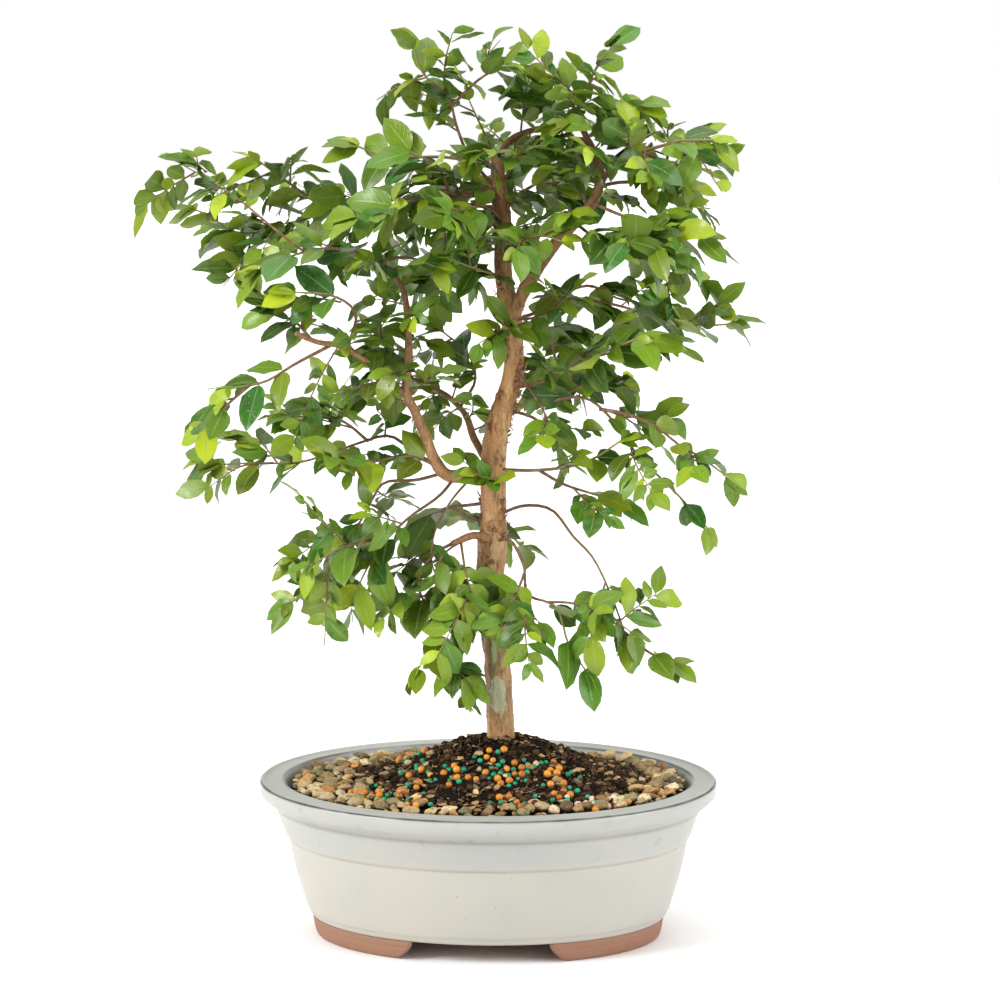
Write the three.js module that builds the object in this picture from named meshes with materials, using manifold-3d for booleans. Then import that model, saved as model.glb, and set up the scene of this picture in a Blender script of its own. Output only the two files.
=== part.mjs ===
// A jaboticaba bonsai in an oval glazed pot, at its real size.
// Millimetres, +Z up. The front of the tree faces -Y, and +X is to the right seen from there.

import * as THREE from 'three';
import { mergeVertices } from 'three/addons/utils/BufferGeometryUtils.js';
import Module from 'manifold-3d';

const wasm = await Module();
wasm.setup();

// Driving dimensions of the pot
const POT_HEIGHT = 88;
const FOOT_HEIGHT = 11;
const FLOOR_TOP = 19;
const RIM_HALF_LENGTH = 127;
const FOOT_HALF_LENGTH = 98;
const LENGTH_OVER_WIDTH_AT_RIM = 24.5;
const LENGTH_OVER_WIDTH_AT_SOLE = 30;
const POT_SIDES = 34;
const FOOT_WIDTH = 14;
// The foot's outside from the sole up, as how far it is drawn in and height
const FOOT_OUTSIDE = [[2.5, 0], [0.7, 5], [0, FOOT_HEIGHT + 1]];
const FOOT_GAP_AT_SOLE = 92;
const FOOT_GAP_AT_TOP = 74;
const DRAIN_HOLE_RADIUS = 11;
const DRAIN_HOLE_SPACING = 104;
const DRAIN_HOLE_SIDES = 16;

// The wall's outside and inside, as half length and height
const WALL_OUTSIDE = [
  [99.2, FOOT_HEIGHT], [101.2, 14], [107, 36], [110.4, 54], [112.6, 57], [117.6, 72.5],
  [125.4, 79.5], [RIM_HALF_LENGTH, 82], [RIM_HALF_LENGTH, 86], [125.2, POT_HEIGHT],
];
const WALL_INSIDE = [[113, POT_HEIGHT], [110.8, 84.5], [102.5, 52], [91, FLOOR_TOP]];

// Soil, gravel and fertiliser grains
const SOIL_EDGE_HEIGHT = 82;
const MOUND_HEIGHT = 30;
const MOUND_CENTRE_X = 7;
const MOUND_SPREAD = 46;
const MOUND_LENGTH_SHARE = 0.62;
const DRESSING_RINGS = [1, 0.66, 0.46, 0.29, 0.14, 0];
const DRESSING_SIDES = 22;
const GRAVEL_DEPTH = 3;
const BARE_SOIL = { x: 7.5, y: 6.5, halfLength: 81.5, halfWidth: 64.5, sides: 26 };
const GRAVEL_STONES = 28;
const STONE_RADII = [3, 5.4];
const STONE_HALF_HEIGHT = 2.6;
const STONES_REACH = { halfLength: 109, halfWidth: 84 };
const GRAINS = 14;
const GRAIN_RADIUS = 2.1;
const GRAINS_REACH = [0.3, 0.93];
const RISE_ABOVE_BED = 0.35;

// Drainage screens of plastic mesh over the holes
const SCREEN_SIZE = 34;
const SCREEN_THICKNESS = 1.2;
const SCREEN_MESHES = 2;
const SCREEN_BAR = 4;

// Edges shorter than the first of these are closed up, or than the next where that can't be done
const SMALLEST_DETAILS = [0.1, 0.06, 0.03, 0.01];

// Space between pieces that rest on or in each other
const CLEARANCE = 0.3;

// Leaves
const LEAF_THICKNESS = 0.78;
const LEAF_WIDTH_SHARE = 0.56;
// Stations along a blade as share of its length and of its width, from root to tip
const LEAF_ROWS = [[0, 0], [0.27, 0.9], [0.66, 0.86], [1, 0]];
// Its points run from the root's two to the tip's two, upper face even and lower face odd
const LEAF_TRIANGLES = [
  [0, 4, 2], [2, 4, 8], [2, 8, 6], [6, 8, 10],
  [1, 3, 5], [3, 9, 5], [3, 7, 9], [7, 11, 9],
  [4, 0, 1], [4, 1, 5], [8, 4, 5], [8, 5, 9], [10, 8, 9], [10, 9, 11],
  [6, 10, 11], [6, 11, 7], [2, 6, 7], [2, 7, 3], [0, 2, 3], [0, 3, 1],
];
const LEAF_ROOT_OFFSET = 0.25;
// Ranges between which leaves differ. Lean, roll and bend are angles from the twig, round it and
// along the blade; hang, sway and upward are shares of a unit vector; the others multiply lengths
const LEAF_LEAN = [0.7, 1.2];
const LEAF_ROLL = [-0.45, 0.45];
const LEAF_HANG = [-0.15, 0.45];
const LEAF_SWAY = [-0.5, 0.5];
const LEAF_UPWARD = [0.45, 1.0];
const LEAF_GROWTH = [0.66, 1.08];
const LEAF_HALF_SLIMNESS = [0.4, 0.55];
const LEAF_BEND = [0.12, 0.6];
// How strongly a leaf's face turns out from the crown
const LEAF_OUTWARD = 0.6;
const PAIR_SPACING = 18.9;
const PAIR_TURN = 0.7;
const LAST_PAIR = 0.985;
const LAST_PAIR_CHANGE = { lean: -0.35, length: 0.85 };
const LEAF_TRIES = 5;
const NEXT_TRY = { swing: 0.5, hang: 0.12, length: 0.94 };
const TWIG_SIDES = 3;
const TWIG_STEP = 18;
// The crown's upright middle line, and how much flatter than round it is from front to back
const CROWN = { x: 7, y: 35, flatness: 0.2 };
const UP = new THREE.Vector3(0, 0, 1);

// Branches are drawn as they look from the front: across and up on the plane through the trunk,
// and how far behind that plane they stand. Each point is moved along its line of sight.
const VIEWPOINT = new THREE.Vector3(107, -1748, 497);

function fromFront([across, behind, height]) {
  const reach = 1 - behind / VIEWPOINT.y;
  return new THREE.Vector3(
    VIEWPOINT.x + (across - VIEWPOINT.x) * reach,
    behind,
    VIEWPOINT.z + (height - VIEWPOINT.z) * reach,
  );
}

// A repeatable number from 0 to 1 for each seed and channel
function chance(seed, channel) {
  const wave = Math.sin(seed * 12.9898 + channel * 78.233) * 43758.5453;
  return wave - Math.floor(wave);
}

function between(low, high, seed, channel) {
  return low + (high - low) * chance(seed, channel);
}

function toSolid(geometry) {
  geometry.deleteAttribute('normal');
  geometry.deleteAttribute('uv');
  const merged = mergeVertices(geometry, 1e-4);
  const corners = merged.index.array;
  const triangles = [];
  for (let i = 0; i < corners.length; i += 3) {
    const [a, b, c] = [corners[i], corners[i + 1], corners[i + 2]];
    if (a !== b && b !== c && c !== a) {
      triangles.push(a, b, c);
    }
  }
  return new wasm.Manifold(new wasm.Mesh({
    numProp: 3,
    vertProperties: Float32Array.from(merged.attributes.position.array),
    triVerts: Uint32Array.from(triangles),
  }));
}

function union(solids) {
  return solids.reduce((whole, piece) => whole.add(piece));
}

function largestPiece(solid) {
  return solid.decompose().reduce((best, piece) => (piece.volume() > best.volume() ? piece : best));
}

// Short edges are closed up as far as every edge keeps exactly two faces
function toGeometry(solid) {
  const whole = solid.asOriginal();
  const tries = SMALLEST_DETAILS.map((detail) => largestPiece(whole.simplify(detail)).getMesh());
  const mesh = tries.find(hasTwoFacesAtEachEdge);
  const geometry = new THREE.BufferGeometry();
  geometry.setAttribute('position', new THREE.BufferAttribute(mesh.vertProperties, 3));
  geometry.setIndex(new THREE.BufferAttribute(mesh.triVerts, 1));
  geometry.computeVertexNormals();
  return geometry;
}

function hasTwoFacesAtEachEdge({ vertProperties, triVerts }) {
  const place = (corner) => vertProperties.subarray(3 * corner, 3 * corner + 3).join();
  const faces = new Map();
  for (let i = 0; i < triVerts.length; i += 1) {
    const next = i % 3 === 2 ? i - 2 : i + 1;
    const edge = [place(triVerts[i]), place(triVerts[next])].sort().join('/');
    faces.set(edge, (faces.get(edge) ?? 0) + 1);
  }
  return [...faces.values()].every((count) => count === 2);
}

function placed(geometry, x, y, z) {
  geometry.translate(x, y, z);
  return toSolid(geometry);
}

function reshape(geometry, move) {
  const position = geometry.attributes.position;
  const point = new THREE.Vector3();
  for (let i = 0; i < position.count; i += 1) {
    point.fromBufferAttribute(position, i);
    move(point);
    position.setXYZ(i, point.x, point.y, point.z);
  }
  return geometry;
}

// How much longer than wide the oval is, as a difference of its half axes
function lengthOverWidth(height) {
  const share = height / POT_HEIGHT;
  return LENGTH_OVER_WIDTH_AT_SOLE + (LENGTH_OVER_WIDTH_AT_RIM - LENGTH_OVER_WIDTH_AT_SOLE) * share;
}

// A round of half widths turned about Z, then drawn out along X into the pot's oval
function ovalGeometry(profile) {
  const outline = profile.map(([halfLength, height]) => (
    new THREE.Vector2(Math.max(halfLength - lengthOverWidth(height), 0), height)
  ));
  const geometry = new THREE.LatheGeometry(outline, POT_SIDES);
  geometry.rotateX(Math.PI / 2);
  return reshape(geometry, (point) => {
    const halfWidth = Math.hypot(point.x, point.y);
    if (halfWidth > 1e-6) {
      point.x *= (halfWidth + lengthOverWidth(point.z)) / halfWidth;
    }
  });
}

function makePot() {
  const bowl = toSolid(ovalGeometry([[0, FOOT_HEIGHT], ...WALL_OUTSIDE, ...WALL_INSIDE, [0, FLOOR_TOP]]));
  const footInside = FOOT_HALF_LENGTH - FOOT_WIDTH;
  const ring = toSolid(ovalGeometry([
    [footInside, 0],
    ...FOOT_OUTSIDE.map(([inset, height]) => [FOOT_HALF_LENGTH - inset, height]),
    [footInside, FOOT_HEIGHT + 1],
    [footInside, 0],
  ]));
  return bowl.add(ring.subtract(footGapCutter())).subtract(drainHoles());
}

// The front and back gaps between the two C-shaped feet, with ends that curve in towards the top
function footGapCutter() {
  const outline = new THREE.Shape();
  const sole = FOOT_GAP_AT_SOLE / 2;
  const top = FOOT_GAP_AT_TOP / 2;
  outline.moveTo(-sole, -1);
  outline.lineTo(sole, -1);
  outline.quadraticCurveTo(top + 1, 1, top, FOOT_HEIGHT);
  outline.lineTo(top, FOOT_HEIGHT + 2);
  outline.lineTo(-top, FOOT_HEIGHT + 2);
  outline.lineTo(-top, FOOT_HEIGHT);
  outline.quadraticCurveTo(-top - 1, 1, -sole, -1);
  const depth = 2 * RIM_HALF_LENGTH;
  const cutter = new THREE.ExtrudeGeometry(outline, { depth, bevelEnabled: false, curveSegments: 3 });
  cutter.rotateX(Math.PI / 2);
  return placed(cutter, 0, depth / 2, 0);
}

function drainHoles() {
  return union([-1, 1].map((side) => {
    const hole = new THREE.CylinderGeometry(
      DRAIN_HOLE_RADIUS, DRAIN_HOLE_RADIUS, 2 * FLOOR_TOP, DRAIN_HOLE_SIDES,
    );
    hole.rotateX(Math.PI / 2);
    return placed(hole, side * DRAIN_HOLE_SPACING / 2, 0, FLOOR_TOP);
  }));
}

// A square of plastic mesh that lies on the pot's floor over one drain hole
function makeScreen(side, grow) {
  const size = SCREEN_SIZE + 2 * grow;
  const bottom = FLOOR_TOP + CLEARANCE;
  const height = SCREEN_THICKNESS + grow;
  const x = side * DRAIN_HOLE_SPACING / 2;
  const plate = placed(new THREE.BoxGeometry(size, size, height), x, 0, bottom + height / 2);
  if (grow > 0) {
    return plate;
  }
  const pitch = (SCREEN_SIZE - SCREEN_BAR) / SCREEN_MESHES;
  const holes = [];
  for (let row = 0; row < SCREEN_MESHES; row += 1) {
    for (let column = 0; column < SCREEN_MESHES; column += 1) {
      const across = (column - (SCREEN_MESHES - 1) / 2) * pitch;
      const along = (row - (SCREEN_MESHES - 1) / 2) * pitch;
      const opening = new THREE.BoxGeometry(pitch - SCREEN_BAR, pitch - SCREEN_BAR, 4 * height);
      holes.push(placed(opening, x + across, along, bottom));
    }
  }
  return plate.subtract(union(holes));
}

function soilHeight(x, y) {
  const spread = (MOUND_LENGTH_SHARE * (x - MOUND_CENTRE_X) ** 2 + y ** 2) / MOUND_SPREAD ** 2;
  return SOIL_EDGE_HEIGHT + MOUND_HEIGHT * Math.exp(-spread);
}

// The room inside the pot, and above it as far as a mound of soil may rise
function potRoom() {
  const wall = WALL_INSIDE.map(([halfLength, height]) => [halfLength - CLEARANCE, height]).reverse();
  wall[0][1] += CLEARANCE;
  const [rimLength] = wall[wall.length - 1];
  return toSolid(ovalGeometry([[0, wall[0][1]], ...wall, [rimLength, 2 * POT_HEIGHT], [0, 2 * POT_HEIGHT]]));
}

// All that is lower than a surface which lies a given drop below the top of the dressing
function belowDressing(drop) {
  const surface = DRESSING_RINGS.map((ring) => new THREE.Vector2(ring, 2));
  const geometry = new THREE.LatheGeometry([
    new THREE.Vector2(0, 1), new THREE.Vector2(1, 1), ...surface,
  ], DRESSING_SIDES);
  geometry.rotateX(Math.PI / 2);
  geometry.scale(RIM_HALF_LENGTH, RIM_HALF_LENGTH - LENGTH_OVER_WIDTH_AT_RIM, 1);
  return toSolid(reshape(geometry, (point) => {
    if (point.z > 1.5) {
      point.z = soilHeight(point.x, point.y) - drop;
    }
  }));
}

// The oval of bare soil round the trunk that the gravel leaves free
function bareSoil(grow) {
  const { x, y, halfLength, halfWidth, sides } = BARE_SOIL;
  const prism = new THREE.CylinderGeometry(1, 1, POT_HEIGHT, sides);
  prism.rotateX(Math.PI / 2);
  prism.scale(halfLength + grow, halfWidth + grow, 1);
  return placed(prism, x, y, SOIL_EDGE_HEIGHT + MOUND_HEIGHT);
}

// A stone or grain: a low-sided pebble, turned and flattened by its own seed
function pebble(x, y, z, radius, flatness, seed) {
  const geometry = new THREE.OctahedronGeometry(radius, 0);
  geometry.scale(1, between(0.7, 1, seed, 5), flatness);
  geometry.rotateX(between(-0.3, 0.3, seed, 6));
  geometry.rotateZ(between(0, Math.PI, seed, 7));
  return placed(geometry, x, y, z);
}

function makeGravel() {
  const layer = belowDressing(0).subtract(belowDressing(GRAVEL_DEPTH)).intersect(potRoom())
    .subtract(bareSoil(0));
  const stones = [];
  for (let stone = 0; stone < GRAVEL_STONES; stone += 1) {
    const angle = between(0, 2 * Math.PI, stone, 1);
    const outward = Math.sqrt(chance(stone, 2));
    const radius = between(...STONE_RADII, stone, 3);
    const x = Math.cos(angle);
    const y = Math.sin(angle);
    const outer = [x * (STONES_REACH.halfLength - radius), y * (STONES_REACH.halfWidth - radius)];
    const inner = [
      BARE_SOIL.x + x * (BARE_SOIL.halfLength + radius),
      BARE_SOIL.y + y * (BARE_SOIL.halfWidth + radius),
    ];
    const place = outer.map((far, axis) => inner[axis] + (far - inner[axis]) * outward);
    const height = soilHeight(...place) + RISE_ABOVE_BED;
    stones.push(pebble(...place, height, radius, STONE_HALF_HEIGHT / radius, stone));
  }
  return layer.add(union(stones));
}

// Soil with the fertiliser grains and crumbs that lie pressed into its surface
function makeSoil(buriedWood) {
  const core = belowDressing(GRAVEL_DEPTH + CLEARANCE).intersect(potRoom());
  const centre = belowDressing(0).intersect(bareSoil(-CLEARANCE));
  const grains = [];
  for (let grain = 0; grain < GRAINS; grain += 1) {
    const angle = between(0, 2 * Math.PI, grain, 11);
    const outward = between(...GRAINS_REACH, grain, 12);
    const x = BARE_SOIL.x + Math.cos(angle) * outward * BARE_SOIL.halfLength;
    const y = BARE_SOIL.y + Math.sin(angle) * outward * BARE_SOIL.halfWidth;
    grains.push(pebble(x, y, soilHeight(x, y) + RISE_ABOVE_BED, GRAIN_RADIUS, 1, grain));
  }
  const screens = [-1, 1].map((side) => makeScreen(side, CLEARANCE));
  const whole = union([core, centre, ...grains]).subtract(buriedWood).subtract(union(screens));
  return largestPiece(whole);
}

function smoothPath(points) {
  return new THREE.CatmullRomCurve3(points, false, 'catmullrom', 0.5);
}

// How many straight lengths of about one step make up a path
function stepCount(path, step) {
  const chord = path.points.slice(1).reduce((sum, point, i) => sum + point.distanceTo(path.points[i]), 0);
  return Math.max(2, Math.round(chord / step));
}

// A tapered stem: a closed cylinder bent along a smooth curve through the points, with a radius
// for each of them that changes evenly from one to the next
function stem(points, radii, sides, step, grow = 0) {
  const path = smoothPath(points);
  const steps = stepCount(path, step);
  const rings = [];
  const across = new THREE.Vector3(0.31, 0.87, 0.39);
  for (let ring = 0; ring <= steps; ring += 1) {
    const t = ring / steps;
    const along = tangentAt(path, t);
    across.addScaledVector(along, -across.dot(along)).normalize();
    rings.push({
      centre: path.getPoint(t),
      across: across.clone(),
      other: new THREE.Vector3().crossVectors(across, along),
      radius: radiusAt(radii, t) + grow,
    });
  }
  rings[steps].centre.addScaledVector(tangentAt(path, 1), grow);
  const geometry = new THREE.CylinderGeometry(1, 1, 1, sides, steps);
  return toSolid(reshape(geometry, (point) => {
    const ring = rings[Math.round((point.y + 0.5) * steps)];
    const { x, z } = point;
    point.copy(ring.centre);
    point.addScaledVector(ring.across, x * ring.radius);
    point.addScaledVector(ring.other, z * ring.radius);
  }));
}

function tangentAt(path, t) {
  const ahead = path.getPoint(Math.min(t + 0.01, 1));
  return ahead.sub(path.getPoint(Math.max(t - 0.01, 0))).normalize();
}

function radiusAt(radii, t) {
  const place = t * (radii.length - 1);
  const before = Math.min(Math.floor(place), radii.length - 2);
  return radii[before] + (radii[before + 1] - radii[before]) * (place - before);
}

// The woody parts as [across, behind, height, radius]
const TRUNK = [
  [7, 0, 76, 8.6], [7, 0, 100, 8.4], [6.8, 0, 118, 7.3], [6.2, 0, 136, 6.9], [4.6, 0, 155, 6.9],
  [3, 0, 175, 6.8], [1.1, 0, 199, 6.7], [2.8, 0, 217, 7.6], [3.7, 0, 236, 6.9], [3, 0, 261, 6.7],
  [5.2, 0, 281, 6.5], [9, 0, 296, 5.8], [13.4, 0, 312, 5.5], [14.5, 0, 328, 4.9], [12.2, 1, 346, 5.5],
  [8.7, 3, 364, 4.8], [8.6, 4, 382, 4.7], [8, 5, 398, 4.8], [6, 6, 414, 4.3], [5, 7, 432, 3.4],
];
const LIMBS = {
  right: [
    [13, 0, 344, 4.0], [20, -4, 359, 3.7], [27, -8, 370, 3.5], [37, -12, 384, 3.2], [48, -14, 396, 3.0],
    [57, -14, 407, 2.7], [61, -12, 420, 2.3], [58, -9, 432, 1.9], [53, -6, 442, 1.6],
    [48.5, -3, 453, 1.3], [51, -2, 464, 1.1],
  ],
  rightFork: [[60, -13, 416, 2.0], [67, -17, 426, 1.7], [74, -21, 430.5, 1.5], [81, -25, 433, 1.2]],
  leaderArm: [
    [5, 7, 427, 2.1], [9, 9, 436, 2.0], [15, 12, 441.5, 1.8], [25, 15, 445, 1.7], [36, 18, 448, 1.4],
    [44, 20, 449.5, 1.1],
  ],
  leaderStub: [[6, 6, 413, 2.4], [-5, -4, 411.5, 2.2], [-16, -12, 408.5, 2.1], [-29, -18, 403.5, 2.1]],
  left: [
    [3, 0, 262, 4.2], [-8, -5, 258.5, 3.8], [-19, -9, 256.5, 3.5], [-26, -12, 260, 3.4],
    [-31, -14, 270, 3.1], [-35, -16, 281, 2.8], [-40, -18, 292, 2.4], [-45, -20, 302, 2.2],
    [-43, -20, 314, 2.2], [-44, -18, 327, 2.0], [-43.5, -15, 342, 1.9], [-46, -11, 358, 1.5],
    [-51, -8, 368, 1.1],
  ],
  leftFork: [
    [-44, -20, 300, 2.0], [-53, -24, 308, 1.8], [-61, -28, 315, 1.7], [-69, -32, 321, 1.6],
    [-78, -36, 327, 1.5], [-88, -40, 328.5, 1.4], [-97, -44, 331, 1.3], [-105, -47, 334.5, 1.2],
  ],
  leftBack: [
    [1, 2, 262, 2.4], [-6, 8, 274, 2.1], [-10, 12, 284, 2.0], [-15, 16, 296, 1.7],
    [-24, 20, 301.5, 1.4], [-32, 22, 306, 1.1],
  ],
  frontKnot: [[1, -3, 222, 4.0], [-4, -10, 224, 2.4], [-12, -15, 222.5, 1.9], [-20, -19, 219, 1.6]],
};
const ROOTS = [
  [[7, 0, 98, 6.5], [-4, -6, 84, 4.6], [-22, -16, 72, 3.0], [-42, -26, 60, 1.6]],
  [[7, 0, 98, 6.5], [17, -8, 84, 4.6], [34, -20, 70, 3.0], [52, -30, 58, 1.6]],
  [[7, 0, 98, 6.5], [16, 9, 83, 4.6], [32, 20, 69, 2.9], [48, 32, 56, 1.6]],
  [[7, 0, 98, 6.5], [-3, 9, 84, 4.6], [-18, 22, 70, 2.9], [-34, 34, 56, 1.6]],
];

function makeWood(grow) {
  const bough = (rows, sides, step) => (
    stem(rows.map(fromFront), rows.map((row) => row[3]), sides, step, grow)
  );
  const trunk = bough(TRUNK, 10, 17);
  const limbs = Object.values(LIMBS).map((rows) => bough(rows, 6, 14));
  const roots = ROOTS.map((rows) => bough(rows, 5, 20));
  return union([trunk, ...limbs, ...roots]);
}

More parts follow.
